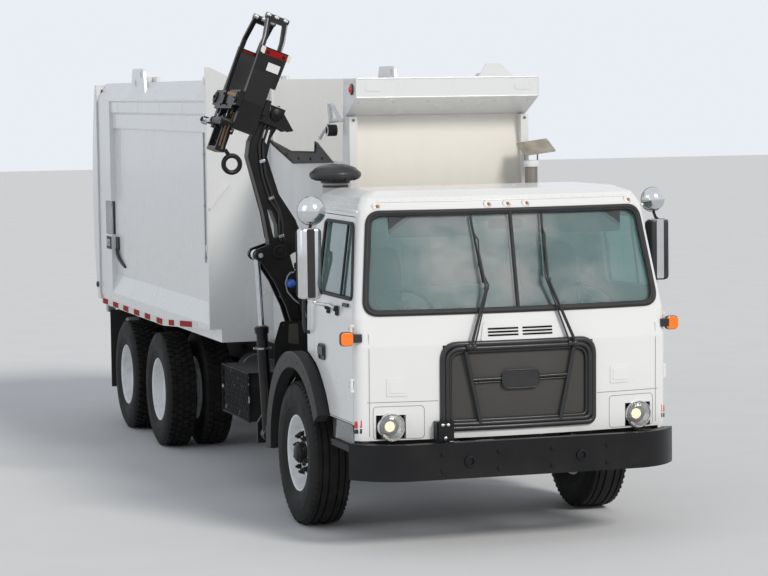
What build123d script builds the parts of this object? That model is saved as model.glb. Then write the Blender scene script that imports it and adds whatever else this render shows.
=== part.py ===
"""An automated side-loading refuse truck: cab over engine, hopper and packing body, and a reaching arm.

+X is the truck's left side, +Y points to the rear, +Z is up.
The origin is on the ground, midway between the bumper and the tailgate.
"""

import os
from math import cos, radians, sin

from build123d import *

os.makedirs("parts", exist_ok=True)

# Driving dimensions, in millimetres.
front_overhang = 1600
wheelbase = 4718
tandem_spacing = 1392
rear_overhang = 1260
body_half_width = 1261
cab_half_width = 1175
hopper_half_width = 722

overall_length = front_overhang + wheelbase + tandem_spacing + rear_overhang
front_axle_y = front_overhang - overall_length / 2
tandem_y = (front_axle_y + wheelbase, front_axle_y + wheelbase + tandem_spacing)
tandem_mid_y = sum(tandem_y) / 2
bumper_front_y = front_axle_y - front_overhang
tailgate_rear_y = overall_length / 2

# Wheels and tyres, on 22.5 inch rims.
front_tyre_radius = 538
front_tyre_width = 312
rear_tyre_radius = 522
rear_tyre_width = 279
rim_flange_radius = 298
rim_seat_radius = 282
front_rim_width = 254
rear_rim_width = 234
front_wheel_x = 1098
rear_outer_wheel_x = 1108
twin_spacing = 343
running_clearance = 0.05
seat_gap = 0.3

# Chassis frame.
rail_outer_x = 430
rail_flange = 80
rail_thickness = 10
rail_bottom_z = 760
rail_top_z = 1020
rail_front_y = front_axle_y - 1380
gate_depth = 284
body_rear_y = tailgate_rear_y - gate_depth
rail_rear_y = body_rear_y - 26

# Cab, measured back and forward from the front axle.
cab_wall = 45
cab_skirt_z = 790
cab_floor_z = 1080
cab_belt_z = 1645
cab_eaves_z = 2400
cab_roof_z = 2525
cab_back_y = front_axle_y - 80
cab_front_y = front_axle_y - 1490
front_bow = 105
corner_radius = 70

# Hopper and body.
hopper_front_y = front_axle_y + 285
header_depth = 295
header_front_y = hopper_front_y - header_depth
hopper_floor_z = 1160
hopper_sheet = 16
spill_height = 2700
body_front_y = front_axle_y + 2500
body_bottom_z = 1145
body_top_z = 3335
panel_recess = 56
body_panel_x = body_half_width - panel_recess
body_sheet = 40
front_plate_top_z = 3450

# The arm, in its raised place: pins in the plane across the truck at arm_y.
arm_y = front_axle_y + 950
arm_pin_x, arm_pin_z = -900, 1250
elbow_x, elbow_z = -1110, 2000
wrist_x, wrist_z = -1115, 3060
lift_foot_x, lift_foot_z = -1195, 560
lift_eye_x, lift_eye_z = -1265, 1975
boom_foot_x, boom_foot_z = -945, 1430
boom_eye_x, boom_eye_z = -905, 2060
grip_turn_deg = 111


def save(builder, label):
    """Name a finished piece and write it out."""
    builder.part.label = label
    export_step(builder.part, "parts/" + label + ".step")


def block(x0, x1, y0, y1, z0, z1, mode=Mode.ADD):
    """A straight block between two corners, in the open part."""
    with Locations(((x0 + x1) / 2, (y0 + y1) / 2, (z0 + z1) / 2)):
        Box(abs(x1 - x0), abs(y1 - y0), abs(z1 - z0), mode=mode)


def round_bar(start, end, radius, mode=Mode.ADD):
    """A round bar from one point to another, in the open part."""
    run = Vector(*end) - Vector(*start)
    middle = Vector(*start) + run * 0.5
    with Locations(Plane(origin=middle, z_dir=run).location):
        Cylinder(radius, run.length, mode=mode)


def across_plane(y):
    """A plane across the truck, whose normal points forward: sketch x is X, sketch y is Z."""
    return Plane(origin=(0, y, 0), x_dir=(1, 0, 0), z_dir=(0, -1, 0))


def side_plane(x):
    """A plane along the truck, whose normal points to +X: sketch x is Y, sketch y is Z."""
    return Plane(origin=(x, 0, 0), x_dir=(0, 1, 0), z_dir=(1, 0, 0))


# The chassis frame: two channel rails with cross members, spring hangers and the rear bar.
cross_members = (
    # place along the truck, width along the truck, underside height
    (rail_front_y + 50, 90, 780),
    (front_axle_y + 520, 90, 900),
    (front_axle_y + 1750, 90, 880),
    (front_axle_y + 3100, 90, 800),
    (tandem_mid_y, 220, 770),
    (rail_rear_y - 160, 120, 770),
)
with BuildPart() as chassis_frame:
    for side in (-1, 1):
        x_out = side * rail_outer_x
        x_in = side * (rail_outer_x - rail_thickness)
        x_flange = side * (rail_outer_x - rail_flange)
        block(x_out, x_in, rail_front_y, rail_rear_y, rail_bottom_z, rail_top_z)
        block(x_out, x_flange, rail_front_y, rail_rear_y, rail_bottom_z, rail_bottom_z + rail_thickness)
        block(x_out, x_flange, rail_front_y, rail_rear_y, rail_top_z - rail_thickness, rail_top_z)
    for y_mid, width, z_low in cross_members:
        x_in = rail_outer_x - rail_thickness
        z_high = rail_top_z - rail_thickness
        block(-x_in, x_in, y_mid - width / 2, y_mid + width / 2, z_low, z_high)
    block(-1150, 1150, rail_rear_y - 60, rail_rear_y, 560, 660)
    for side in (-1, 1):
        block(side * 330, side * 410, rail_rear_y - 60, rail_rear_y, 600, rail_top_z - rail_thickness)
save(chassis_frame, "chassis_frame")

# Leaf springs: one arched pack over each front spring seat, one long pack over each tandem side.
front_spring_half = 700
spring_x = 390
spring_width = 76
with BuildPart() as suspension:
    for side in (-1, 1):
        spring_plane = side_plane(side * spring_x)
        eye_z = rail_bottom_z - 34
        seat_z = front_tyre_radius + 12
        with BuildSketch(spring_plane):
            with BuildLine():
                low = ThreePointArc(
                    (front_axle_y - front_spring_half, eye_z - 30),
                    (front_axle_y, seat_z),
                    (front_axle_y + front_spring_half, eye_z - 30),
                )
                high = ThreePointArc(
                    (front_axle_y - front_spring_half, eye_z),
                    (front_axle_y, seat_z + 62),
                    (front_axle_y + front_spring_half, eye_z),
                )
                Line(low @ 0, high @ 0)
                Line(low @ 1, high @ 1)
            make_face()
        extrude(amount=spring_width / 2, both=True)
        for end in (-1, 1):
            y_end = front_axle_y + end * front_spring_half
            block(side * 352, side * 428, y_end - 55, y_end + 45, eye_z - 40, rail_bottom_z - 1)
        with BuildSketch(spring_plane):
            with BuildLine():
                low = ThreePointArc((tandem_y[0] - 70, 606), (tandem_mid_y, 655), (tandem_y[1] + 70, 606))
                high = ThreePointArc((tandem_y[0] - 70, 632), (tandem_mid_y, 742), (tandem_y[1] + 70, 632))
                Line(low @ 0, high @ 0)
                Line(low @ 1, high @ 1)
            make_face()
        extrude(amount=spring_width / 2, both=True)
        block(side * 352, side * 428, tandem_mid_y - 110, tandem_mid_y + 110, 600, rail_bottom_z - 1)
save(suspension, "suspension")

# The engine and gearbox as one plain mass between the rails, under the cab.
with BuildPart() as engine:
    block(-330, 330, front_axle_y - 1000, front_axle_y - 190, 700, 1050)
    block(-200, 200, front_axle_y - 190, front_axle_y + 420, 700, 960)
save(engine, "engine")

# The front axle: a forged beam dropped in the middle, with an eye for the kingpin at each end.
kingpin_x = 880
kingpin_radius = 24
axle_eye_height = 150
front_hub_z = front_tyre_radius
with BuildPart() as front_axle:
    with BuildSketch(across_plane(front_axle_y)):
        with BuildLine():
            Polyline(
                (-kingpin_x, front_hub_z + 55),
                (-kingpin_x, front_hub_z - 55),
                (-700, front_hub_z - 60),
                (-600, front_hub_z - 110),
                (600, front_hub_z - 110),
                (700, front_hub_z - 60),
                (kingpin_x, front_hub_z - 55),
                (kingpin_x, front_hub_z + 55),
                (700, front_hub_z + 40),
                (600, front_hub_z + 10),
                (-600, front_hub_z + 10),
                (-700, front_hub_z + 40),
                close=True,
            )
        make_face()
    extrude(amount=45, both=True)
    for side in (-1, 1):
        with Locations((side * kingpin_x, front_axle_y, front_hub_z)):
            Cylinder(58, axle_eye_height)
            Cylinder(kingpin_radius + running_clearance, axle_eye_height * 2, mode=Mode.SUBTRACT)
save(front_axle, "front_axle")

# The two driven axles: round housings with a differential in the middle, and the drive shafts.
axle_tube_radius = 68
axle_end_x = 640
with BuildPart() as rear_axles:
    for y_axle in tandem_y:
        round_bar(
            (-axle_end_x, y_axle, rear_tyre_radius), (axle_end_x, y_axle, rear_tyre_radius), axle_tube_radius
        )
        with BuildSketch(Plane(origin=(0, y_axle, rear_tyre_radius), x_dir=(1, 0, 0), z_dir=(0, 0, 1))):
            with BuildLine():
                Line((-300, 0), (300, 0))
                Polyline((300, 0), (240, 90), (110, 180), (-110, 180), (-240, 90), (-300, 0))
            make_face()
        revolve(axis=Axis((0, y_axle, rear_tyre_radius), (1, 0, 0)), revolution_arc=360)
        round_bar((0, y_axle - 300, rear_tyre_radius + 20), (0, y_axle, rear_tyre_radius), 80)
        for side in (-1, 1):
            with Locations((side * 395, y_axle, rear_tyre_radius + 60)):
                Box(70, 110, 48)
    round_bar((0, tandem_y[0] + 150, rear_tyre_radius), (0, tandem_y[1] - 290, rear_tyre_radius + 20), 45)
    round_bar((0, front_axle_y + 425, 830), (0, tandem_y[0] - 290, rear_tyre_radius + 20), 55)
save(rear_axles, "rear_axles")


def wheel_profile(width, radius, tread_width):
    """Half of a tyre's section, from the bead over the shoulder: (distance from its middle, radius)."""
    half = width / 2
    tread = tread_width / 2
    return (
        (half - 30, rim_seat_radius + 18),
        (half - 8, rim_seat_radius + 55),
        (half, (radius + rim_seat_radius) / 2 + 10),
        (half - 12, radius - 40),
        (tread, radius - 8),
        (tread - 40, radius),
    )


def tyre(x_middle, y_hub, z_hub, width, radius, tread_width):
    """A tyre turned about its axle: a closed ring with its bead on the rim's seat."""
    half_profile = wheel_profile(width, radius, tread_width)
    outer = [(x_middle + across, z_hub + up) for across, up in half_profile]
    inner = [(x_middle - across, z_hub + up) for across, up in reversed(half_profile)]
    with BuildPart() as ring:
        with BuildSketch(across_plane(y_hub)):
            with BuildLine():
                Polyline(*outer, *inner, close=True)
            make_face()
        revolve(axis=Axis((0, y_hub, z_hub), (1, 0, 0)), revolution_arc=360)
    return ring.part


def rim(x_middle, y_hub, z_hub, width, face_side, dish):
    """A disc wheel turned about its axle: flanges, a seat and a dished disc with hand holes left plain."""
    half = width / 2
    seat = rim_seat_radius
    flange = rim_flange_radius
    with BuildPart() as turned:
        with BuildSketch(across_plane(y_hub)):
            with BuildLine():
                Polyline(
                    (x_middle - half, z_hub + flange),
                    (x_middle - half + 14, z_hub + flange),
                    (x_middle - half + 20, z_hub + seat),
                    (x_middle + half - 20, z_hub + seat),
                    (x_middle + half - 14, z_hub + flange),
                    (x_middle + half, z_hub + flange),
                    (x_middle + half, z_hub + seat - 14),
                    (x_middle + half - 60, z_hub + seat - 24),
                    (x_middle - half + 60, z_hub + seat - 24),
                    (x_middle - half, z_hub + seat - 14),
                    close=True,
                )
            make_face()
        revolve(axis=Axis((0, y_hub, z_hub), (1, 0, 0)), revolution_arc=360)
        face_x = x_middle + face_side * dish
        back_x = face_x - face_side * 14
        with BuildSketch(across_plane(y_hub)):
            with BuildLine():
                Polyline(
                    (face_x, z_hub + 112),
                    (face_x, z_hub + 170),
                    (face_x - face_side * 50, z_hub + seat - 22),
                    (back_x - face_side * 50, z_hub + seat - 22),
                    (back_x, z_hub + 164),
                    (back_x, z_hub + 112),
                    close=True,
                )
            make_face()
        revolve(axis=Axis((0, y_hub, z_hub), (1, 0, 0)), revolution_arc=360)
    return turned.part


# Front wheels: one tyre and one disc wheel with its hub on each steering knuckle.
spindle_radius = 38
hub_radius = 112
for side, side_name in ((-1, "right"), (1, "left")):
    wheel_x = side * front_wheel_x
    front_tyre_part = tyre(wheel_x, front_axle_y, front_hub_z, front_tyre_width, front_tyre_radius, 250)
    front_rim_part = rim(wheel_x, front_axle_y, front_hub_z, front_rim_width, side, 20)
    with BuildPart() as front_tyre:
        add(front_tyre_part)
    save(front_tyre, "tyre_front_" + side_name)
    with BuildPart() as front_rim:
        add(front_rim_part)
        hub_in = (side * 985, front_axle_y, front_hub_z)
        hub_mid = (side * (front_wheel_x + 24), front_axle_y, front_hub_z)
        hub_out = (side * (front_wheel_x + 100), front_axle_y, front_hub_z)
        round_bar(hub_in, hub_mid, hub_radius + 2)
        round_bar(hub_mid, hub_out, 72)
        round_bar(
            (side * 930, front_axle_y, front_hub_z), hub_mid, spindle_radius + running_clearance,
            Mode.SUBTRACT
        )
    save(front_rim, "rim_front_" + side_name)
    with BuildPart() as knuckle:
        for end in (-1, 1):
            fork_z = front_hub_z + end * (axle_eye_height / 2 + 6 + 22)
            with Locations((side * kingpin_x, front_axle_y, fork_z)):
                Cylinder(52, 44)
            block(
                side * kingpin_x,
                side * (kingpin_x + 85),
                front_axle_y - 40,
                front_axle_y + 40,
                fork_z - 22,
                fork_z + 22,
            )
        z_low, z_high = front_hub_z - 125, front_hub_z + 125
        block(side * 945, side * 975, front_axle_y - 60, front_axle_y + 60, z_low, z_high)
        with Locations((side * kingpin_x, front_axle_y, front_hub_z)):
            Cylinder(kingpin_radius, axle_eye_height + 100)
        spindle_end = (side * (front_wheel_x + 10), front_axle_y, front_hub_z)
        round_bar((side * 970, front_axle_y, front_hub_z), spindle_end, spindle_radius)
        block(
            side * 890, side * 960, front_axle_y + 30, front_axle_y + 210, front_hub_z - 125, front_hub_z - 90
        )
    save(knuckle, "knuckle_" + side_name)

# Rear wheels: twin tyres and twin disc wheels on one hub at each end of both driven axles.
for side, side_name in ((-1, "right"), (1, "left")):
    for y_axle, axle_name in ((tandem_y[0], "middle"), (tandem_y[1], "rear")):
        outer_x = side * rear_outer_wheel_x
        inner_x = side * (rear_outer_wheel_x - twin_spacing)
        twin_tyres = [
            tyre(x, y_axle, rear_tyre_radius, rear_tyre_width, rear_tyre_radius, 220) for x in (
                inner_x, outer_x
            )
        ]
        twin_rims = [
            rim(inner_x, y_axle, rear_tyre_radius, rear_rim_width, side, 105),
            rim(outer_x, y_axle, rear_tyre_radius, rear_rim_width, -side, 105),
        ]
        with BuildPart() as rear_tyres:
            add(twin_tyres)
        save(rear_tyres, "tyres_" + axle_name + "_" + side_name)
        with BuildPart() as rear_rims:
            add(twin_rims)
            hub_in = (side * (axle_end_x + 6), y_axle, rear_tyre_radius)
            hub_mid = (side * (rear_outer_wheel_x - 90), y_axle, rear_tyre_radius)
            hub_out = (side * (rear_outer_wheel_x - 10), y_axle, rear_tyre_radius)
            round_bar(hub_in, hub_mid, hub_radius + 2)
            round_bar(hub_mid, hub_out, 90)
            block(
                side * (rear_outer_wheel_x - 119),
                side * (rear_outer_wheel_x - twin_spacing + 90),
                y_axle - 60,
                y_axle + 60,
                rear_tyre_radius - 60,
                rear_tyre_radius + 60,
            )
        save(rear_rims, "rims_" + axle_name + "_" + side_name)

# Tanks and boxes hung on the frame: fuel, air, battery box and the hydraulic oil tank.
with BuildPart() as tanks:
    round_bar((815, front_axle_y + 2100, 735), (815, front_axle_y + 3500, 735), 300)
    block(rail_outer_x + 1, 620, front_axle_y + 2300, front_axle_y + 2380, 650, 860)
    block(rail_outer_x + 1, 620, front_axle_y + 3200, front_axle_y + 3280, 650, 860)
    round_bar((-620, front_axle_y + 2850, 800), (-620, front_axle_y + 3650, 800), 130)
    block(-rail_outer_x - 1, -560, front_axle_y + 3000, front_axle_y + 3080, 740, 860)
    block(-rail_outer_x - 1, -1130, front_axle_y + 1750, front_axle_y + 2600, 560, 960)
    block(800, 1200, front_axle_y + 700, front_axle_y + 1600, 1040, 1900)
    for support_y in (front_axle_y + 900, front_axle_y + 1300):
        block(rail_outer_x + 1, 840, support_y, support_y + 100, 900, 1010)
        block(700, 840, support_y, support_y + 100, 1009, 1041)
save(tanks, "tanks")

# The front bumper: a deep channel, flat in the middle and swept back at its ends.
bumper_half_width = 1230
bumper_flat = 800
bumper_end_y = front_axle_y - 1346
bumper_depth = 70
bumper_low_z, bumper_high_z = 520, 775
with BuildPart() as bumper:
    with BuildSketch(Plane.XY.offset(bumper_low_z)):
        with BuildLine():
            Line((-bumper_flat, bumper_front_y), (bumper_flat, bumper_front_y))
            Spline(
                (bumper_flat, bumper_front_y),
                (1060, bumper_front_y + 70),
                (bumper_half_width, bumper_end_y),
                tangents=[(1, 0), (0.6, 1)],
            )
            Line((bumper_half_width, bumper_end_y), (bumper_half_width - bumper_depth, bumper_end_y + 20))
            Spline(
                (bumper_half_width - bumper_depth, bumper_end_y + 20),
                (1020, bumper_front_y + 70 + bumper_depth),
                (bumper_flat, bumper_front_y + bumper_depth),
                tangents=[(-0.6, -1), (-1, 0)],
            )
            Line((bumper_flat, bumper_front_y + bumper_depth), (-bumper_flat, bumper_front_y + bumper_depth))
            Spline(
                (-bumper_flat, bumper_front_y + bumper_depth),
                (-1020, bumper_front_y + 70 + bumper_depth),
                (-bumper_half_width + bumper_depth, bumper_end_y + 20),
                tangents=[(-1, 0), (-0.6, 1)],
            )
            Line((-bumper_half_width + bumper_depth, bumper_end_y + 20), (-bumper_half_width, bumper_end_y))
            Spline(
                (-bumper_half_width, bumper_end_y),
                (-1060, bumper_front_y + 70),
                (-bumper_flat, bumper_front_y),
                tangents=[(0.6, -1), (1, 0)],
            )
        make_face()
    extrude(amount=bumper_high_z - bumper_low_z)
    for side in (-1, 1):
        block(side * 340, side * 420, bumper_front_y + bumper_depth, rail_front_y - 1, 600, 770)
save(bumper, "bumper")

# The cab's outer form: level sections joined by straight facets, bowed at the front.
cab_sections = (
    # height, half width, front face ahead of the axle, back face behind it
    (cab_skirt_z, cab_half_width, -1478, -80),
    (1450, cab_half_width, -1490, -80),
    (cab_belt_z, cab_half_width - 3, -1468, -80),
    (cab_eaves_z, cab_half_width - 100, -1298, -80),
    (2482, cab_half_width - 140, -1235, -95),
    (cab_roof_z, cab_half_width - 240, -1110, -170),
)


def cab_form(inset, sections, bow=front_bow):
    """The cab's closed form, made smaller all round by an inset."""
    with BuildPart() as form:
        for height, half, front, back in sections:
            half_in = half - inset
            front_in = front_axle_y + front + inset
            back_in = front_axle_y + back - inset
            turn = corner_radius
            side_front = front_in + bow
            cut = turn * (1 - cos(radians(45)))
            flat = half_in - turn
            with BuildSketch(Plane.XY.offset(height)):
                with BuildLine():
                    ThreePointArc((-flat, side_front), (0, front_in), (flat, side_front))
                    ThreePointArc(
                        (flat, side_front), (half_in - cut, side_front + cut), (half_in, side_front + turn)
                    )
                    Line((half_in, side_front + turn), (half_in, back_in - turn))
                    ThreePointArc((half_in, back_in - turn), (half_in - cut, back_in - cut), (flat, back_in))
                    Line((flat, back_in), (-flat, back_in))
                    ThreePointArc(
                        (-flat, back_in), (-half_in + cut, back_in - cut), (-half_in, back_in - turn)
                    )
                    Line((-half_in, back_in - turn), (-half_in, side_front + turn))
                    ThreePointArc(
                        (-half_in, side_front + turn), (-half_in + cut, side_front + cut), (-flat, side_front)
                    )
                make_face()
        loft(ruled=True)
    return form.part


def rounded_prism(plane, points, corner, amount):
    """A prism with rounded corners, pulled both ways from its plane."""
    with BuildPart() as prism:
        with BuildSketch(plane) as outline:
            with BuildLine():
                Polyline(*points, close=True)
            make_face()
            fillet(outline.vertices(), corner)
        extrude(amount=amount, both=True)
    return prism.part


def lowered(sections, drop):
    """The same sections for the hollow: open below, and lower under the roof."""
    first, *middle, eaves, crown = sections
    open_foot = (first[0] - 100, *first[1:])
    return (open_foot, *middle, (eaves[0] - drop, *eaves[1:]), (crown[0] - drop, *crown[1:]))


cab_outer = cab_form(0, cab_sections)
cab_hollow = cab_form(cab_wall, lowered(cab_sections, cab_wall))

# Door, window and windscreen outlines, used for the openings and for what fills them.
door_gap = 6
door_front = front_axle_y - 1298
door_back = front_axle_y - 322
door_foot_z, door_top_z = 905, 2352
arch_radius = 790
glass_thickness = 7
glass_inset = 16
glass_clearance = 1.5
screen_corner = 85
pillar_rake = 178
window_low_z, window_high_z = 1775, 2302
hinge_x = cab_half_width + 14
hinge_y = door_front - door_gap


def door_outline(gap):
    """The door's outline on the cab's side, made smaller all round by a gap."""
    low, high = door_foot_z + gap, door_top_z - gap
    front, back = door_front + gap, door_back - gap
    return ((front, low), (front, cab_belt_z), (front + pillar_rake, high), (back, high), (back, low))


def side_window_outline(gap):
    """The door window's outline, with its front edge raked like the pillar."""
    low, high = window_low_z + gap, window_high_z - gap
    front, back = door_front + 56 + gap, door_back - 75 - gap
    return ((front, low), (front + pillar_rake - 30, high), (back, high), (back, low))


def windscreen_prism(side, gap):
    """One windscreen pane's outline pulled through the cab's front, with large outer corners."""
    low, high = 1672 + gap, 2380 - gap
    bar = 15 + gap
    with BuildPart() as prism:
        with BuildSketch(across_plane(front_axle_y - 1300)) as outline:
            with BuildLine():
                Polyline(
                    (side * bar, low), (side * (1110 - gap), low), (side * (1004 - gap), high),
                    (side * bar, high), close=True
                )
            make_face()
            corners = outline.vertices().sort_by(Axis.X)
            fillet(corners[2:] if side < 0 else corners[:2], 12)
            corners = outline.vertices().sort_by(Axis.X)
            fillet(corners[:2] if side < 0 else corners[-2:], screen_corner - gap)
        extrude(amount=260, both=True)
    return prism.part


side_doors = []
side_windows = []
side_panes = []
for side in (-1, 1):
    plane = side_plane(side * cab_half_width)
    side_doors.append(
        (
            rounded_prism(plane, door_outline(0), 40, 200),
            rounded_prism(plane, door_outline(door_gap), 36, 200)
        )
    )
    side_windows.append(rounded_prism(plane, side_window_outline(0), 45, 200))
    side_panes.append(rounded_prism(plane, side_window_outline(glass_clearance), 44, 200))
windscreen_holes = [windscreen_prism(side, 0) for side in (-1, 1)]
windscreen_panes = [windscreen_prism(side, glass_clearance) for side in (-1, 1)]
glass_outer = cab_form(glass_inset, cab_sections)
glass_inner = cab_form(glass_inset + glass_thickness, cab_sections)

headlamp_x, headlamp_z = 935, 884
lamp_half_width, lamp_half_height = 104, 84
roof_lamp_radius = 30
roof_lamp_places = [
    (x, front_axle_y - 1280 + front_bow * (x / 993) ** 2, 2424) for x in (-956, -157, -13, 132, 955)
]
grille_half_width = 566
grille_low_z, grille_high_z = 862, 1448
rear_window_half = 420
hinge_heights = (1180, 1560)
knuckle_height = 54
knuckle_radius = 13
hinge_pin_radius = 6
with BuildPart() as floor_slab:
    add(cab_hollow)
    block(-2000, 2000, -9000, 9000, cab_floor_z, cab_floor_z + 40, Mode.INTERSECT)
with BuildPart() as cab_shell:
    add(cab_outer)
    add(cab_hollow, mode=Mode.SUBTRACT)
    add(floor_slab)
    for side in (-1, 1):
        riser_front = front_axle_y - 830
        block(
            side * 560, side * 1129, riser_front, cab_back_y - 45, cab_floor_z + 20,
            front_hub_z + arch_radius + 46
        )
    for side in (-1, 1):
        round_bar(
            (side * 560, front_axle_y, front_hub_z),
            (side * 1300, front_axle_y, front_hub_z),
            arch_radius,
            Mode.SUBTRACT,
        )
    block(-560, 560, front_axle_y - 500, cab_back_y + 10, 700, cab_floor_z - 5, Mode.SUBTRACT)
    for side, (hole, _) in zip((-1, 1), side_doors):
        add(hole, mode=Mode.SUBTRACT)
        block(
            side * 1080, side * 1300, door_front - 10, front_axle_y - 500, 700, door_foot_z - 6, Mode.SUBTRACT
        )
    for hole in windscreen_holes:
        add(hole, mode=Mode.SUBTRACT)
    block(-rear_window_half, rear_window_half, cab_back_y - 80, cab_back_y + 40, 1760, 2240, Mode.SUBTRACT)
    block(
        -grille_half_width,
        grille_half_width,
        cab_front_y - 60,
        cab_front_y + 200,
        grille_low_z,
        grille_high_z,
        Mode.SUBTRACT,
    )
    for side in (-1, 1):
        block(
            side * (headlamp_x - lamp_half_width - 1),
            side * (headlamp_x + lamp_half_width + 1),
            front_axle_y - 1600,
            front_axle_y - 1300,
            headlamp_z - lamp_half_height - 1,
            headlamp_z + lamp_half_height + 1,
            Mode.SUBTRACT,
        )
    with Locations(roof_lamp_places):
        Sphere(roof_lamp_radius + 0.5, mode=Mode.SUBTRACT)
    for side in (-1, 1):
        for hinge_z in hinge_heights:
            for end in (-1, 1):
                knuckle_z = hinge_z + end * (knuckle_height / 2 + 1 + 10)
                with Locations((side * hinge_x, hinge_y, knuckle_z)):
                    Cylinder(knuckle_radius, 20)
                leaf_y = hinge_y - 14
                block(side * 1160, side * hinge_x, leaf_y, hinge_y, knuckle_z - 10, knuckle_z + 10)
            with Locations((side * hinge_x, hinge_y, hinge_z)):
                Cylinder(hinge_pin_radius, knuckle_height + 40)
save(cab_shell, "cab_shell")

# Fixed glass: the two windscreen panes and the window in the back wall.
with BuildPart() as pane_tools:
    add(windscreen_panes)
with BuildPart() as glazing:
    add(glass_outer)
    add(glass_inner, mode=Mode.SUBTRACT)
    add(pane_tools, mode=Mode.INTERSECT)
    window_y = cab_back_y - 22
    half = rear_window_half - glass_clearance
    block(-half, half, window_y - 4, window_y + 4, 1760 + glass_clearance, 2240 - glass_clearance)
save(glazing, "glazing")

# The doors: the cab's own skin cut out on the same outline, with the window cut and glazed.
for index, (side, side_name) in enumerate(((-1, "right"), (1, "left"))):
    with BuildPart() as door:
        add(cab_outer)
        add(cab_hollow, mode=Mode.SUBTRACT)
        add(side_doors[index][1], mode=Mode.INTERSECT)
        add(side_windows[index], mode=Mode.SUBTRACT)
        round_bar(
            (side * 560, front_axle_y, front_hub_z),
            (side * 1300, front_axle_y, front_hub_z),
            arch_radius + door_gap,
            Mode.SUBTRACT,
        )
        for hinge_z in hinge_heights:
            leaf_low, leaf_high = hinge_z - knuckle_height / 2, hinge_z + knuckle_height / 2
            block(side * 1168, side * (hinge_x - 6), door_front + 7, door_front + 70, leaf_low, leaf_high)
            block(
                side * (cab_half_width + 2), side * (hinge_x + 6), hinge_y, door_front + 20, leaf_low,
                leaf_high
            )
            with Locations((side * hinge_x, hinge_y, hinge_z)):
                Cylinder(knuckle_radius, knuckle_height)
                Cylinder(hinge_pin_radius + running_clearance, knuckle_height + 10, mode=Mode.SUBTRACT)
    save(door, "door_" + side_name)
    with BuildPart() as door_glass:
        add(glass_outer)
        add(glass_inner, mode=Mode.SUBTRACT)
        add(side_panes[index], mode=Mode.INTERSECT)
    save(door_glass, "door_glass_" + side_name)

# The mirrors: a flat glass housing, a round wide-angle dome above it and two arms to the door.
dome_radius = 82
# Columns: the side's sign, its name, the housing's x, y, lowest z and highest z.
mirror_places = (
    (-1, "right", 1355, front_axle_y - 870, 1760, 2270),
    (1, "left", 1435, front_axle_y - 650, 1790, 2250),
)
for side, side_name, mirror_x, mirror_y, mirror_low_z, mirror_high_z in mirror_places:
    with BuildPart() as mirror:
        with BuildSketch(Plane.XY.offset(mirror_low_z)):
            with Locations((side * mirror_x, mirror_y)):
                RectangleRounded(190, 76, 22)
        extrude(amount=mirror_high_z - mirror_low_z)
        dome_z = mirror_high_z + 110
        with Locations((side * (mirror_x - 20), mirror_y, dome_z)):
            Sphere(dome_radius)
            with Locations((0, dome_radius / 2 + 30, 0)):
                Box(3 * dome_radius, dome_radius, 3 * dome_radius, mode=Mode.SUBTRACT)
        round_bar((side * mirror_x, mirror_y, mirror_high_z - 10), (side * mirror_x, mirror_y, dome_z), 12)
        arm_root_x = cab_half_width + 4
        for arm_z, arm_root_y in ((mirror_low_z + 30, mirror_y - 60), (mirror_low_z - 20, mirror_y + 160)):
            round_bar((side * arm_root_x, arm_root_y, 1690), (side * (mirror_x - 40), mirror_y, arm_z), 12)
            block(
                side * (cab_half_width + 0.5),
                side * (cab_half_width + 14),
                arm_root_y - 30,
                arm_root_y + 30,
                1640,
                1712,
            )
        block(
            side * (mirror_x - 60), side * (mirror_x + 20), mirror_y - 25, mirror_y + 25, mirror_low_z - 32,
            mirror_low_z + 5
        )
    save(mirror, "mirror_" + side_name)

# The radiator grille: a rounded frame, a bar across and upright slats behind it.
grille_clearance = 2
with BuildPart() as grille:
    frame_half = grille_half_width - grille_clearance
    frame_low, frame_high = grille_low_z + grille_clearance, grille_high_z - grille_clearance
    frame_points = (
        (-frame_half, frame_low), (-frame_half, frame_high), (frame_half, frame_high), (frame_half, frame_low)
    )
    with BuildSketch(across_plane(cab_front_y - 22)) as frame_outline:
        with BuildLine():
            Polyline(*frame_points, close=True)
        make_face()
        fillet(frame_outline.vertices(), 60)
        offset(amount=-42, mode=Mode.SUBTRACT)
    extrude(amount=-75)
    slat_count = 26
    slat_pitch = 2 * (frame_half - 42) / (slat_count + 1)
    for number in range(slat_count):
        slat_x = -frame_half + 42 + slat_pitch * (number + 1)
        block(slat_x - 4, slat_x + 4, cab_front_y + 6, cab_front_y + 44, frame_low + 38, frame_high - 38)
    for bar_z in (1000, 1290):
        block(-frame_half + 38, frame_half - 38, cab_front_y + 10, cab_front_y + 40, bar_z - 6, bar_z + 6)
    block(-frame_half + 38, frame_half - 38, cab_front_y - 14, cab_front_y + 30, 1140, 1176)
save(grille, "grille")

# Lamps: round headlamps in square bezels, five roof lamps and the two side lamps on brackets.
with BuildPart() as lamps:
    for side in (-1, 1):
        lamp_y = front_axle_y - 1330
        with BuildSketch(across_plane(lamp_y)):
            with Locations((side * headlamp_x, headlamp_z)):
                Rectangle(2 * lamp_half_width, 2 * lamp_half_height)
        extrude(amount=92)
        with Locations(Plane(origin=(side * headlamp_x, lamp_y - 92, headlamp_z), z_dir=(0, -1, 0)).location):
            Cylinder(72, 30)
        block(
            side * (cab_half_width + 0.5), side * 1215, front_axle_y - 1345, front_axle_y - 1318, 1488, 1532
        )
        block(side * 1184, side * 1292, front_axle_y - 1345, front_axle_y - 1320, 1460, 1560)
        with BuildSketch(across_plane(front_axle_y - 1344)):
            with Locations((side * 1238, 1510)):
                RectangleRounded(104, 92, 24)
        extrude(amount=38)
    with Locations(roof_lamp_places):
        Sphere(roof_lamp_radius)
save(lamps, "lamps")

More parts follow.
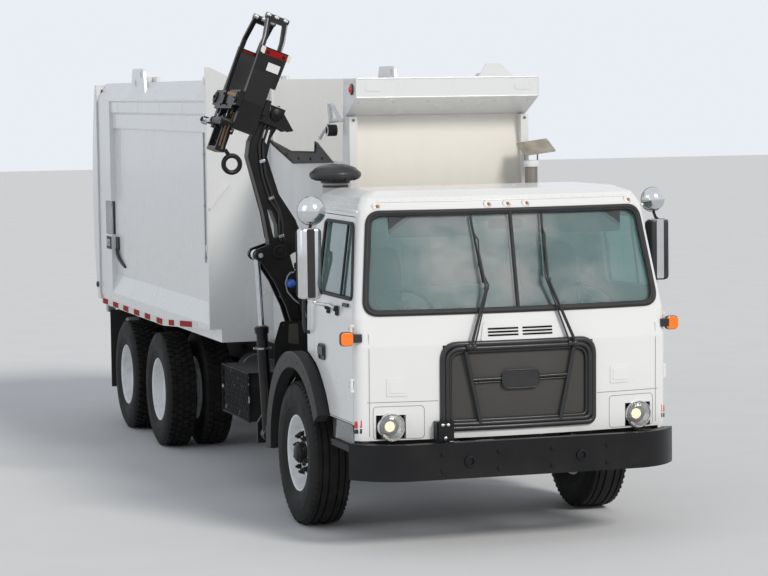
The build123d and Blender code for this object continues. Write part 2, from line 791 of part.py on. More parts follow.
# The cab's fittings: two seats on risers, the dashboard and a cover over the engine.
seat_x = 700
seat_base_z = front_hub_z + arch_radius + 47
dash_back_y = front_axle_y - 1150
with BuildPart() as cab_interior:
    for side in (-1, 1):
        x_mid = side * seat_x
        block(
            x_mid - 230, x_mid + 230, front_axle_y - 720, front_axle_y - 240, seat_base_z, seat_base_z + 120
        )
        block(
            x_mid - 225, x_mid + 225, front_axle_y - 300, front_axle_y - 190, seat_base_z + 100,
            seat_base_z + 700
        )
        block(x_mid - 300, x_mid + 300, front_axle_y - 1330, dash_back_y, cab_floor_z + 41, 1600)
    block(-450, 450, front_axle_y - 1330, front_axle_y - 1220, cab_floor_z + 41, 1560)
    block(-420, 420, front_axle_y - 1000, front_axle_y - 150, cab_floor_z + 41, cab_floor_z + 210)
save(cab_interior, "cab_interior")

# The two steering wheels on their columns, which end just clear of the dashboard.
steering_y, steering_z = dash_back_y + 140, 1700
with BuildPart() as steering_wheels:
    for side in (-1, 1):
        hub_place = (side * seat_x, steering_y, steering_z)
        wheel_plane = Plane(origin=hub_place, x_dir=(1, 0, 0), z_dir=(0, 0.5, 0.87))
        with Locations(wheel_plane.location):
            Torus(200, 14)
            Box(400, 36, 14)
        round_bar((side * seat_x, dash_back_y + 23, steering_z - 156), hub_place, 28)
save(steering_wheels, "steering_wheels")

# Black wheel-arch flares over the front wheels, and the mud flaps behind the tandem.
flare_inner, flare_outer = 645, 765
with BuildPart() as fenders:
    for side in (-1, 1):
        with BuildSketch(side_plane(side * 1215)):
            with BuildLine():
                start, end = radians(-4), radians(152)
                low = ThreePointArc(
                    (front_axle_y + flare_inner * cos(start), front_hub_z + flare_inner * sin(start)),
                    (front_axle_y, front_hub_z + flare_inner),
                    (front_axle_y + flare_inner * cos(end), front_hub_z + flare_inner * sin(end)),
                )
                high = ThreePointArc(
                    (front_axle_y + flare_outer * cos(start), front_hub_z + flare_outer * sin(start)),
                    (front_axle_y, front_hub_z + flare_outer),
                    (front_axle_y + flare_outer * cos(end), front_hub_z + flare_outer * sin(end)),
                )
                Line(low @ 0, high @ 0)
                Line(low @ 1, high @ 1)
            make_face()
        extrude(amount=46, both=True)
        block(side * 640, side * 1240, tandem_y[1] + 680, tandem_y[1] + 692, 330, 1100)
save(fenders, "fenders")

# Steps below the doors: one tread on a bracket from the frame, with an upright riser behind it.
step_x = 1150
step_low_z, step_high_z = 700, 742
riser_top_z = 888
step_front_y, step_back_y = front_axle_y - 1262, front_axle_y - 800
with BuildPart() as cab_steps:
    for side in (-1, 1):
        block(side * 985, side * (step_x + 44), step_front_y, step_back_y, step_low_z, step_high_z)
        block(
            side * (step_x - 4), side * (step_x + 4), step_front_y, step_back_y + 40, step_high_z - 1,
            riser_top_z
        )
        for bracket_y in (step_front_y + 90, step_back_y - 60):
            block(
                side * (rail_outer_x + 1), side * 990, bracket_y - 25, bracket_y + 25, step_high_z - 40, 800
            )
save(cab_steps, "cab_steps")

# The engine's air intake stack with its mushroom cap, and the exhaust stack on the other side.
intake_x, intake_y = -892, front_axle_y + 24
with BuildPart() as air_intake:
    with BuildSketch(across_plane(intake_y)):
        with BuildLine():
            Polyline(
                (intake_x, 1900),
                (intake_x + 94, 1900),
                (intake_x + 94, 2560),
                (intake_x + 190, 2600),
                (intake_x + 196, 2625),
                (intake_x + 170, 2660),
                (intake_x + 90, 2690),
                (intake_x, 2698),
                close=True,
            )
        make_face()
    revolve(axis=Axis((intake_x, intake_y, 0), (0, 0, 1)), revolution_arc=360)
    block(intake_x - 60, intake_x + 60, intake_y - 60, intake_y + 60, 1130, 1900)
    block(intake_x + 20, -rail_outer_x - 1, intake_y - 40, intake_y + 40, 1130, 1210)
    block(-rail_outer_x - 61, -rail_outer_x - 1, intake_y - 40, intake_y + 40, 960, 1140)
save(air_intake, "air_intake")

exhaust_x, exhaust_y = 668, front_axle_y + 5
with BuildPart() as exhaust:
    round_bar((exhaust_x, exhaust_y, 1100), (exhaust_x, exhaust_y, 2690), 48)
    round_bar((exhaust_x, exhaust_y, 2640), (exhaust_x, exhaust_y, 2690), 58)
    rain_plate = Plane(origin=(exhaust_x + 40, exhaust_y, 2790), x_dir=(1, 0, 0.12), z_dir=(-0.12, -0.55, 1))
    with Locations(rain_plate.location):
        Box(250, 190, 8)
    for side in (-1, 1):
        block(exhaust_x + side * 44, exhaust_x + side * 56, exhaust_y - 8, exhaust_y + 8, 2680, 2795)
    round_bar((exhaust_x, exhaust_y, 1150), (exhaust_x, exhaust_y, 2000), 75)
    block(rail_outer_x + 1, exhaust_x, exhaust_y - 40, exhaust_y + 40, 960, 1040)
    block(exhaust_x - 40, exhaust_x + 40, exhaust_y - 40, exhaust_y + 40, 1000, 1110)
save(exhaust, "exhaust")

# The hopper: side sheets, a bowed front sheet between two posts, and its floor on the frame.
# The right wall is cut down for loading, and a triangular eye stands on its front end.
wall_top_z = 3330
front_fold_z = 3042
spill_front_y, spill_back_y = hopper_front_y + 115, hopper_front_y + 1460
eye_triangle = (
    # behind the hopper's front, height
    (20, 3010),
    (300, 3000),
    (330, 3140),
    (250, 3140),
)
hopper_back_y = body_front_y - 2
with BuildPart() as hopper_shell:
    spill_outline = (
        (hopper_front_y, hopper_floor_z),
        (hopper_front_y, wall_top_z),
        (spill_front_y - 60, wall_top_z),
        (spill_front_y, spill_height),
        (spill_back_y, spill_height),
        (hopper_back_y - 98, spill_height + 115),
        (hopper_back_y - 58, wall_top_z),
        (hopper_back_y, wall_top_z),
        (hopper_back_y, hopper_floor_z),
    )
    plain_outline = (
        (hopper_front_y, hopper_floor_z),
        (hopper_front_y, wall_top_z),
        (hopper_back_y, wall_top_z),
        (hopper_back_y, hopper_floor_z),
    )
    for side, outline in ((-1, spill_outline), (1, plain_outline)):
        with BuildSketch(side_plane(side * (hopper_half_width - hopper_sheet / 2))):
            with BuildLine():
                Polyline(*outline, close=True)
            make_face()
        extrude(amount=hopper_sheet / 2, both=True)
        post_in = side * (hopper_half_width - 62)
        block(post_in, side * hopper_half_width, hopper_front_y - 85, hopper_front_y + 16, 1100, front_fold_z)
        block(side * 370, side * 450, hopper_front_y - 85, hopper_back_y, rail_top_z + 1, hopper_floor_z + 1)
    with BuildSketch(side_plane(0)):
        with BuildLine():
            top = Line((hopper_front_y, wall_top_z), (hopper_front_y, front_fold_z))
            front = ThreePointArc(top @ 1, (hopper_front_y - 63, 2200), (hopper_front_y + 55, 1400))
            bend = Line(front @ 1, (hopper_front_y + 235, hopper_floor_z))
            top_back = Line((hopper_front_y + 16, wall_top_z), (hopper_front_y + 16, front_fold_z))
            back = ThreePointArc(top_back @ 1, (hopper_front_y - 47, 2200), (hopper_front_y + 71, 1405))
            under = Line(back @ 1, (hopper_front_y + 241, hopper_floor_z + 16))
            Line(top @ 0, top_back @ 0)
            Line(bend @ 1, under @ 1)
        make_face()
    extrude(amount=hopper_half_width - 4, both=True)
    floor_half = hopper_half_width - 4
    block(-floor_half, floor_half, hopper_front_y + 231, hopper_back_y, hopper_floor_z, hopper_floor_z + 16)
    for rib in range(3):
        rib_y = hopper_front_y + 515 + 600 * rib
        block(hopper_half_width - 1, hopper_half_width + 45, rib_y, rib_y + 50, hopper_floor_z, wall_top_z)
    with BuildSketch(side_plane(-hopper_half_width - 30)) as eye_outline:
        with BuildLine():
            Polyline(*[(hopper_front_y + back, height) for back, height in eye_triangle], close=True)
        make_face()
        offset(amount=-26, mode=Mode.SUBTRACT)
    extrude(amount=9, both=True)
    for foot_y, foot_z in ((hopper_front_y + 60, 3012), (hopper_front_y + 285, 3014)):
        block(
            -hopper_half_width + 2, -hopper_half_width - 32, foot_y - 14, foot_y + 14, foot_z - 10,
            foot_z + 12
        )
    roller_y, roller_z = hopper_front_y + 280, 2938
    round_bar((-hopper_half_width - 74, roller_y, roller_z), (-hopper_half_width + 1, roller_y, roller_z), 42)
save(hopper_shell, "hopper_shell")

# The header over the hopper's front edge, with a slanted under-sheet and a raised fin.
header_low_z = 3183
fin_outline = ((240, wall_top_z - 1), (306, 3433), (424, 3433), (526, wall_top_z - 1))
with BuildPart() as hopper_header:
    with BuildSketch(side_plane(0)):
        with BuildLine():
            Polyline(
                (header_front_y, wall_top_z),
                (header_front_y, header_low_z),
                (hopper_front_y - 1, front_fold_z + 6),
                (hopper_front_y - 1, wall_top_z),
                close=True,
            )
        make_face()
    extrude(amount=hopper_half_width + 8, both=True)
    with BuildSketch(across_plane(header_front_y)):
        with BuildLine():
            Polyline(*fin_outline, close=True)
        make_face()
    extrude(amount=-12)
save(hopper_header, "hopper_header")

# The folded lip on the loading side, with an upright gusset at its front end.
lip_outline = (
    # behind the hopper's front, height above the cut wall
    (2166, 137),
    (1514, 54),
    (810, 62),
    (792, 140),
    (342, -11),
    (1458, -40),
    (2084, 100),
)
with BuildPart() as spill_lip:
    with BuildSketch(side_plane(-hopper_half_width - 0.4)):
        with BuildLine():
            Polyline(*[(hopper_front_y + back, spill_height + up) for back, up in lip_outline], close=True)
        make_face()
    extrude(amount=-14)
save(spill_lip, "spill_lip")

# The packer blade that pushes the load through into the body.
blade_back_y = hopper_front_y + 265
blade_foot_z = hopper_floor_z + 26
with BuildPart() as packer_blade:
    with BuildSketch(side_plane(0)):
        with BuildLine():
            Polyline(
                (blade_back_y, blade_foot_z),
                (blade_back_y + 430, blade_foot_z),
                (blade_back_y + 430, 1900),
                (blade_back_y + 350, 2000),
                (blade_back_y, 2000),
                close=True,
            )
        make_face()
    extrude(amount=hopper_half_width - hopper_sheet - 12, both=True)
save(packer_blade, "packer_blade")

# The body: a hollow tube with posts, stepped top rails under a sloped cornice, and sloped sills.
# It is open at the back, and its front plate is wider than the tube.
gate_gap = 12
gate_hinge_y, gate_hinge_z = body_rear_y + 40, body_top_z + 37
gate_pin_radius = 20
gate_ear_in, gate_ear_out = 652, 690
front_post_width, rear_post_width = 90, 540
sill_rise = 113
sill_kink_y = tandem_y[0] - 390
plate_half_width = body_half_width + 14
pocket_low_z, pocket_high_z = 1860, 2190
lug_hole_radius = 24
lug_half_thickness = 12
lug_x = body_half_width - 40
lugs = (
    # place along the truck, half its foot, half its top, top height, holes as (behind it, height)
    (body_rear_y - 1761, 325, 235, 3472, ((-158, 3418), (99, 3341))),
    (body_front_y + 175, 150, 90, 3378, ((0, 3325),)),
)
cornice_profile = (
    # distance from the middle, height: what is cut from the corner over the sloped cornice
    (body_half_width, 3188),
    (body_half_width - 88, body_top_z + 10),
    (body_half_width, body_top_z + 10),
)
side_rail_profile = (
    (body_panel_x - 60, 2908),
    (body_half_width - 33, 2908),
    (body_half_width - 33, 3042),
    (body_half_width - 15, 3064),
    (body_half_width - 15, 3158),
    (body_half_width, 3172),
    (body_half_width, 3188),
    (body_half_width - 88, body_top_z + 10),
    (body_panel_x - 60, body_top_z + 10),
)
sill_profile = (
    (body_panel_x - 5, 1500),
    (body_panel_x, 1470),
    (body_half_width, 1290),
    (body_half_width, body_bottom_z),
    (body_panel_x - 35, body_bottom_z),
    (body_panel_x - 35, 1500),
)
front_plate_outline = (
    (-plate_half_width, body_bottom_z + sill_rise),
    (-plate_half_width, front_plate_top_z),
    (-plate_half_width + 40, front_plate_top_z),
    (-body_panel_x + 187, body_top_z + 8),
    (plate_half_width, body_top_z + 8),
    (plate_half_width, body_bottom_z + sill_rise),
)
with BuildPart() as body_shell:
    body_length = body_rear_y - body_front_y
    with BuildSketch(across_plane(body_front_y)):
        with Locations((0, (body_bottom_z + body_top_z) / 2)):
            Rectangle(2 * body_panel_x, body_top_z - body_bottom_z)
    extrude(amount=-body_length)
    for side in (-1, 1):
        for profile, mode in (
            (cornice_profile, Mode.SUBTRACT),
            (side_rail_profile, Mode.ADD),
            (sill_profile, Mode.ADD),
        ):
            with BuildSketch(across_plane(body_front_y)):
                with BuildLine():
                    Polyline(*[(side * across, height) for across, height in profile], close=True)
                make_face()
            extrude(amount=-body_length, mode=mode)
        for post_y0, post_y1 in (
            (body_front_y, body_front_y + front_post_width),
            (body_rear_y - rear_post_width, body_rear_y),
        ):
            block(side * 1135, side * body_half_width, post_y0, post_y1, body_bottom_z, 3180)
        post_y = body_rear_y - rear_post_width
        pocket_floor = side * (body_panel_x + 6)
        block(
            pocket_floor, side * 1400, post_y - 50, post_y + 262, pocket_low_z, pocket_high_z, Mode.SUBTRACT
        )
        with BuildSketch(side_plane(side * (body_panel_x + 97))):
            with BuildLine():
                Polyline(
                    (sill_kink_y, body_bottom_z - 1),
                    (body_front_y - 1, body_bottom_z + sill_rise),
                    (body_front_y - 1, body_bottom_z - 1),
                    close=True,
                )
            make_face()
        extrude(amount=132, both=True, mode=Mode.SUBTRACT)
    inner = body_panel_x - body_sheet
    floor_z = body_bottom_z + 90
    block(-inner, inner, body_front_y + 60, body_rear_y + 10, floor_z, body_top_z - body_sheet, Mode.SUBTRACT)
    with BuildSketch(across_plane(body_front_y)):
        with BuildLine():
            Polyline(*front_plate_outline, close=True)
        make_face()
    extrude(amount=-20)
    door_half = hopper_half_width - 24
    block(
        -door_half, door_half, body_front_y - 10, body_front_y + 100, hopper_floor_z + 10, 2350, Mode.SUBTRACT
    )
    for side in (-1, 1):
        block(side * 370, side * 450, body_front_y + 2, body_rear_y - 40, rail_top_z + 1, body_bottom_z + 1)
    for side in (-1, 1):
        for lug_y, foot_half, top_half, top_z, holes in lugs:
            with BuildSketch(side_plane(side * lug_x)) as lug_outline:
                with BuildLine():
                    Polyline(
                        (lug_y - foot_half, 3175),
                        (lug_y - top_half, top_z),
                        (lug_y + top_half, top_z),
                        (lug_y + foot_half, 3175),
                        close=True,
                    )
                make_face()
                fillet(lug_outline.vertices().group_by(Axis.Z)[-1], 50)
            extrude(amount=lug_half_thickness, both=True)
            for behind, hole_z in holes:
                hole_start = (side * (lug_x - 40), lug_y + behind, hole_z)
                hole_end = (side * (lug_x + 40), lug_y + behind, hole_z)
                round_bar(hole_start, hole_end, lug_hole_radius, Mode.SUBTRACT)
    for side in (-1, 1):
        ear_in, ear_out = side * gate_ear_in, side * gate_ear_out
        block(ear_in, ear_out, body_rear_y - 160, gate_hinge_y, body_top_z - 1, gate_hinge_z + 32)
        round_bar((ear_in, gate_hinge_y, gate_hinge_z), (ear_out, gate_hinge_y, gate_hinge_z), 34)
        block(
            ear_in, ear_out, body_rear_y, gate_hinge_y + 40, body_top_z - 35, gate_hinge_z - 35, Mode.SUBTRACT
        )
        pin_bore = gate_pin_radius + running_clearance
        bore_start, bore_end = side * (gate_ear_in - 12), side * (gate_ear_out + 10)
        round_bar(
            (bore_start, gate_hinge_y, gate_hinge_z), (bore_end, gate_hinge_y, gate_hinge_z), pin_bore,
            Mode.SUBTRACT
        )
save(body_shell, "body_shell")

# The tailgate: a hollow bulged gate hung from two ears at the top of the body.
gate_front_y = body_rear_y + gate_gap
gate_half_width = body_half_width + 13
gate_wall = 45
gate_low_z, gate_high_z = body_bottom_z + 45, body_top_z - 5
gate_bulge_z = (gate_low_z + gate_high_z) / 2
gate_top_set_in, gate_foot_set_in = 190, 150


def gate_profile(inset, front_y):
    """The gate's side section, made smaller by an inset: straight at the front, bulged behind."""
    rear = tailgate_rear_y - inset
    low, high = gate_low_z + inset, gate_high_z - inset
    with BuildPart() as form:
        with BuildSketch(side_plane(0)):
            with BuildLine():
                Line((front_y, low), (front_y, high))
                Line((front_y, high), (rear - gate_top_set_in, high))
                ThreePointArc(
                    (rear - gate_top_set_in, high), (rear, gate_bulge_z), (rear - gate_foot_set_in, low)
                )
                Line((rear - gate_foot_set_in, low), (front_y, low))
            make_face()
        extrude(amount=gate_half_width - inset, both=True)
    return form.part


gate_outer = gate_profile(0, gate_front_y)
gate_hollow = gate_profile(gate_wall, gate_front_y - 10)
with BuildPart() as tailgate:
    add(gate_outer)
    add(gate_hollow, mode=Mode.SUBTRACT)
    for side in (-1, 1):
        lobe_in, lobe_out = side * (gate_ear_out + 10), side * (gate_ear_out + 50)
        block(lobe_in, lobe_out, gate_hinge_y - 26, gate_hinge_y + 110, gate_high_z - 5, gate_hinge_z + 32)
        pin_start = (side * (gate_ear_in - 12), gate_hinge_y, gate_hinge_z)
        round_bar(pin_start, (lobe_out, gate_hinge_y, gate_hinge_z), gate_pin_radius)
save(tailgate, "tailgate")

# The arm's foot: two cheek plates and a block on the right rail, carrying two pins.
cheek_in, cheek_out = 122, 150
arm_pin_radius = 40
lift_pin_radius = 25
boom_pin_radius = 35
small_pin_radius = 22
with BuildPart() as arm_base:
    for side in (-1, 1):
        with BuildSketch(across_plane(arm_y + side * (cheek_in + cheek_out) / 2)):
            with BuildLine():
                Polyline(
                    (-rail_outer_x - 1, 1010),
                    (-rail_outer_x - 1, 780),
                    (-760, 700),
                    (-1130, 480),
                    (-1250, 480),
                    (-1250, 640),
                    (-1010, 1010),
                    (-1010, 1290),
                    (-960, 1350),
                    (-840, 1350),
                    (-800, 1290),
                    (-790, 1010),
                    close=True,
                )
            make_face()
        extrude(amount=(cheek_out - cheek_in) / 2, both=True)
    block(-rail_outer_x - 1, -700, arm_y - cheek_in - 1, arm_y + cheek_in + 1, 800, 990)
    for pin_x, pin_z, radius in (
        (arm_pin_x, arm_pin_z, arm_pin_radius),
        (lift_foot_x, lift_foot_z, lift_pin_radius),
    ):
        round_bar((pin_x, arm_y - cheek_out - 12, pin_z), (pin_x, arm_y + cheek_out + 12, pin_z), radius)
save(arm_base, "arm_base")

# The lower arm: two side plates on a hub, bored for the elbow pin and with an ear for the lift rod.
plate_in, plate_out = 76, 100
with BuildPart() as arm_lower:
    for side in (-1, 1):
        with BuildSketch(across_plane(arm_y + side * (plate_in + plate_out) / 2)):
            with BuildLine():
                Polyline(
                    (arm_pin_x - 85, arm_pin_z - 20),
                    (arm_pin_x - 85, arm_pin_z + 60),
                    (-1060, 1560),
                    (-1150, 1760),
                    (lift_eye_x + 10, lift_eye_z - 55),
                    (lift_eye_x - 50, lift_eye_z - 10),
                    (lift_eye_x - 30, lift_eye_z + 45),
                    (elbow_x - 50, elbow_z + 65),
                    (elbow_x + 60, elbow_z + 60),
                    (elbow_x + 110, elbow_z - 120),
                    (-900, 1640),
                    (arm_pin_x + 60, 1480),
                    (arm_pin_x + 85, arm_pin_z + 20),
                    (arm_pin_x + 60, arm_pin_z - 60),
                    (arm_pin_x - 40, arm_pin_z - 80),
                    close=True,
                )
            make_face()
        extrude(amount=(plate_out - plate_in) / 2, both=True)
    round_bar(
        (arm_pin_x, arm_y - plate_out - 15, arm_pin_z), (arm_pin_x, arm_y + plate_out + 15, arm_pin_z), 72
    )
    for pin_x, pin_z, radius in (
        (boom_foot_x, boom_foot_z, small_pin_radius),
        (lift_eye_x, lift_eye_z, 30),
    ):
        for side in (-1, 1):
            round_bar(
                (pin_x, arm_y + side * (plate_in - 1), pin_z),
                (pin_x, arm_y + side * (plate_out + 12), pin_z), radius + 14
            )
    round_bar(
        (boom_foot_x, arm_y - plate_in, boom_foot_z), (boom_foot_x, arm_y + plate_in, boom_foot_z),
        small_pin_radius
    )
    block(-1075, -1045, arm_y - plate_in - 1, arm_y + plate_in + 1, 1630, 1700)
    round_bar(
        (arm_pin_x, arm_y - 200, arm_pin_z),
        (arm_pin_x, arm_y + 200, arm_pin_z),
        arm_pin_radius + running_clearance,
        Mode.SUBTRACT,
    )
    round_bar(
        (elbow_x, arm_y - 200, elbow_z), (elbow_x, arm_y + 200, elbow_z),
        boom_pin_radius + running_clearance, Mode.SUBTRACT
    )
save(arm_lower, "arm_lower")

# The boom: a cranked box arm on the elbow pin, slotted near its foot, with a hub for the gripper.
boom_half = 58
boom_slit = ((-1190, 2330), (-1154, 2316), (-1112, 2205), (-1106, 2108), (-1140, 2100), (-1160, 2180))
rod_swing = (
    # the room the rod needs while the boom folds, from its eye: across, up
    (60, -240),
    (60, 66),
    (-50, 66),
    (-50, -10),
    (-232, -198),
    (-232, -240),
)
with BuildPart() as boom:
    with BuildSketch(across_plane(arm_y)) as boom_outline:
        with BuildLine():
            Polyline(
                (elbow_x - 72, elbow_z - 30),
                (elbow_x - 70, 2090),
                (-1217, 2300),
                (-1268, 2495),
                (-1338, 2740),
                (-1320, 2860),
                (wrist_x - 105, wrist_z - 20),
                (wrist_x - 60, wrist_z + 60),
                (wrist_x + 40, wrist_z + 70),
                (wrist_x + 75, wrist_z - 10),
                (-1150, 2880),
                (-1185, 2735),
                (-1094, 2444),
                (-962, 2240),
                (boom_eye_x - 20, 2130),
                (boom_eye_x + 38, boom_eye_z + 30),
                (boom_eye_x + 38, boom_eye_z - 34),
                (elbow_x + 120, elbow_z - 20),
                (elbow_x + 50, elbow_z - 72),
                (elbow_x - 40, elbow_z - 68),
                close=True,
            )
        make_face()
        fillet(boom_outline.vertices(), 14)
    extrude(amount=boom_half, both=True)
    with BuildSketch(across_plane(arm_y)):
        with BuildLine():
            Polyline(*boom_slit, close=True)
        make_face()
    extrude(amount=100, both=True, mode=Mode.SUBTRACT)
    with BuildSketch(across_plane(arm_y)):
        with BuildLine():
            Polyline(*[(boom_eye_x + across, boom_eye_z + up) for across, up in rod_swing], close=True)
        make_face()
    extrude(amount=34, both=True, mode=Mode.SUBTRACT)
    round_bar(
        (elbow_x, arm_y - plate_out - 10, elbow_z), (elbow_x, arm_y + plate_out + 10, elbow_z),
        boom_pin_radius
    )
    round_bar(
        (wrist_x, arm_y - 200, wrist_z), (wrist_x, arm_y + 200, wrist_z),
        boom_pin_radius + running_clearance, Mode.SUBTRACT
    )
save(boom, "boom")


# Hydraulic cylinders: a bored barrel with a foot eye, and a rod with an eye of its own.
def cylinder_pair(foot, eye, barrel_length, barrel_radius, rod_radius, foot_pin, reach):
    """A barrel and its rod in the arm's plane, from the foot pin to the rod's eye."""
    foot_point = Vector(foot[0], arm_y, foot[1])
    eye_point = Vector(eye[0], arm_y, eye[1])
    along = (eye_point - foot_point).normalized()
    barrel_top = foot_point + along * barrel_length
    with BuildPart() as barrel:
        round_bar(foot_point, barrel_top, barrel_radius)
        round_bar(barrel_top - along * 45, barrel_top, barrel_radius + 8)
        round_bar(
            (foot[0], arm_y - 50, foot[1]), (foot[0], arm_y + 50, foot[1]), foot_pin + 26
        )
        round_bar(
            (foot[0], arm_y - 60, foot[1]),
            (foot[0], arm_y + 60, foot[1]),
            foot_pin + running_clearance,
            Mode.SUBTRACT,
        )
        bore_start = foot_point + along * (foot_pin + 40)
        round_bar(bore_start, barrel_top + along, rod_radius + running_clearance, Mode.SUBTRACT)
    with BuildPart() as rod:
        round_bar(barrel_top - along * reach, eye_point, rod_radius)
        round_bar((eye[0], arm_y - 30, eye[1]), (eye[0], arm_y + 30, eye[1]), rod_radius + 18)
    return barrel, rod


lift_barrel, lift_rod = cylinder_pair(
    (lift_foot_x, lift_foot_z), (lift_eye_x, lift_eye_z), 850, 45, 24, lift_pin_radius, 90
)
save(lift_barrel, "lift_barrel")
save(lift_rod, "lift_rod")
boom_barrel, boom_rod = cylinder_pair(
    (boom_foot_x, boom_foot_z), (boom_eye_x, boom_eye_z), 470, 36, 18, small_pin_radius, 250
)
save(boom_barrel, "boom_barrel")
save(boom_rod, "boom_rod")

# The gripper's own frame at the wrist: a along the reach, y along the truck, b square to both.
turn = radians(180 - grip_turn_deg)
reach_dir = Vector(cos(turn), 0, sin(turn))
lid_dir = Vector(sin(turn), 0, -cos(turn))
wrist = Vector(wrist_x, arm_y, wrist_z)


def grip_point(a, y, b):
    """A point of the gripper's frame in the truck's frame."""
    return wrist + reach_dir * a + Vector(0, y, 0) + lid_dir * b


def grip_block(a0, a1, y0, y1, b0, b1, mode=Mode.ADD):
    """A straight block in the gripper's frame."""
    middle = grip_point((a0 + a1) / 2, (y0 + y1) / 2, (b0 + b1) / 2)
    with Locations(Plane(origin=middle, x_dir=reach_dir, z_dir=lid_dir).location):
        Box(abs(a1 - a0), abs(y1 - y0), abs(b1 - b0), mode=mode)


def grip_bar(a, y, b0, b1, radius, mode=Mode.ADD):
    """A round bar along the gripper's lid direction."""
    round_bar(grip_point(a, y, b0), grip_point(a, y, b1), radius, mode)


finger_pivot_y = 320
finger_low, finger_high = -358, -182
head_low, head_high = -400, -140
head_plate = 24
finger_pin_radius = 26
lever_reach = 200
lever_pin_radius = 16
grip_axis_b = -426
rail_end = -420
with BuildPart() as gripper_head:
    for side in (-1, 1):
        grip_block(-90, 60, side * 64, side * 92, finger_low - 2, 60)
        grip_block(rail_end, -60, side * 110, side * 135, head_low + 20, head_low + 95)
        grip_block(-90, 60, side * 64, side * 270, head_low, head_low + head_plate)
        grip_block(-90, 60, side * 64, side * 270, head_high - head_plate, head_high)
        grip_block(-60, 60, side * 262, side * 372, head_low, finger_low - 4)
        grip_block(-60, 60, side * 262, side * 372, finger_high + 4, head_high)
        grip_bar(0, side * finger_pivot_y, head_low, head_high, finger_pin_radius)
    grip_block(-90, -60, -235, 235, head_low, head_low + 120)
    grip_block(rail_end, rail_end + 30, -135, 135, head_low + 20, head_low + 95)
    round_bar((wrist_x, arm_y - 100, wrist_z), (wrist_x, arm_y + 100, wrist_z), boom_pin_radius)
save(gripper_head, "gripper_head")

# The two fingers: bars on upright pins, with a lever behind and a hooked loop in front.
finger_bodies = {}
for side, finger_name in ((-1, "front"), (1, "rear")):
    finger_plane = Plane(origin=grip_point(0, 0, finger_high), x_dir=reach_dir, z_dir=-lid_dir)
    with BuildPart() as finger:
        with BuildSketch(finger_plane):
            with BuildLine():
                Polyline(
                    (-lever_reach - 34, side * (finger_pivot_y - 24)),
                    (-lever_reach - 34, side * (finger_pivot_y + 26)),
                    (0, side * (finger_pivot_y + 48)),
                    (330, side * (finger_pivot_y + 30)),
                    (520, side * (finger_pivot_y + 4)),
                    (700, side * (finger_pivot_y - 120)),
                    (672, side * (finger_pivot_y - 150)),
                    (505, side * (finger_pivot_y - 32)),
                    (330, side * (finger_pivot_y - 8)),
                    (60, side * (finger_pivot_y - 22)),
                    (0, side * (finger_pivot_y - 42)),
                    (-100, side * (finger_pivot_y - 24)),
                    close=True,
                )
            make_face()
        extrude(amount=finger_high - finger_low)
        grip_block(410, 646, side * 120, side * 420, finger_low + 34, finger_high - 34, Mode.SUBTRACT)
        grip_bar(688, side * (finger_pivot_y - 132), finger_low - 8, finger_high + 8, 20)
        grip_bar(-lever_reach, side * finger_pivot_y, grip_axis_b - 34, finger_low + 1, lever_pin_radius)
        grip_bar(
            0, side * finger_pivot_y, head_low, head_high, finger_pin_radius + running_clearance,
            Mode.SUBTRACT
        )
    save(finger, "finger_" + finger_name)

# The gripping cylinder between the two levers.
grip_barrel_end = 30
with BuildPart() as grip_barrel:
    barrel_foot = grip_point(-lever_reach, -finger_pivot_y, grip_axis_b)
    round_bar(barrel_foot, grip_point(-lever_reach, grip_barrel_end, grip_axis_b), 28)
    grip_bar(-lever_reach, -finger_pivot_y, grip_axis_b - 30, grip_axis_b + 30, 34)
    pin_bore = lever_pin_radius + running_clearance
    grip_bar(-lever_reach, -finger_pivot_y, grip_axis_b - 60, grip_axis_b + 60, pin_bore, Mode.SUBTRACT)
    round_bar(
        grip_point(-lever_reach, -finger_pivot_y + 45, grip_axis_b),
        grip_point(-lever_reach, grip_barrel_end + 1, grip_axis_b),
        14 + running_clearance,
        Mode.SUBTRACT,
    )
save(grip_barrel, "grip_barrel")
with BuildPart() as grip_rod:
    round_bar(
        grip_point(-lever_reach, -70, grip_axis_b), grip_point(-lever_reach, finger_pivot_y, grip_axis_b), 14
    )
    grip_bar(-lever_reach, finger_pivot_y, grip_axis_b - 24, grip_axis_b + 24, 34)
    grip_bar(-lever_reach, finger_pivot_y, grip_axis_b - 60, grip_axis_b + 60, 24, Mode.SUBTRACT)
save(grip_rod, "grip_rod")
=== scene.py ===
from math import cos, pi, radians, sin

import bmesh
import bpy
from mathutils import Matrix, Vector


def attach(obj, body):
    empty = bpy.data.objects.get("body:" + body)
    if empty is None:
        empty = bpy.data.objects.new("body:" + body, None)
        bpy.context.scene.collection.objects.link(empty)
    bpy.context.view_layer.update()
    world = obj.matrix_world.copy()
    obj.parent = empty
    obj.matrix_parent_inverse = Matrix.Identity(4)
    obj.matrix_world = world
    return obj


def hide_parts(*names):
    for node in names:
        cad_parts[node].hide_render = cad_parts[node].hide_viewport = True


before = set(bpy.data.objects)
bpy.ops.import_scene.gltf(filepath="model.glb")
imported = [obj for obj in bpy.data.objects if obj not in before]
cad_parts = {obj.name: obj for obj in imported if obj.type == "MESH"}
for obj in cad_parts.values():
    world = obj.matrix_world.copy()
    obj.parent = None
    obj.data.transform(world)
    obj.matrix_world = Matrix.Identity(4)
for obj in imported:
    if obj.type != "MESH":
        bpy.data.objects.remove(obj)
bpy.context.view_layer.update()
scene = bpy.context.scene

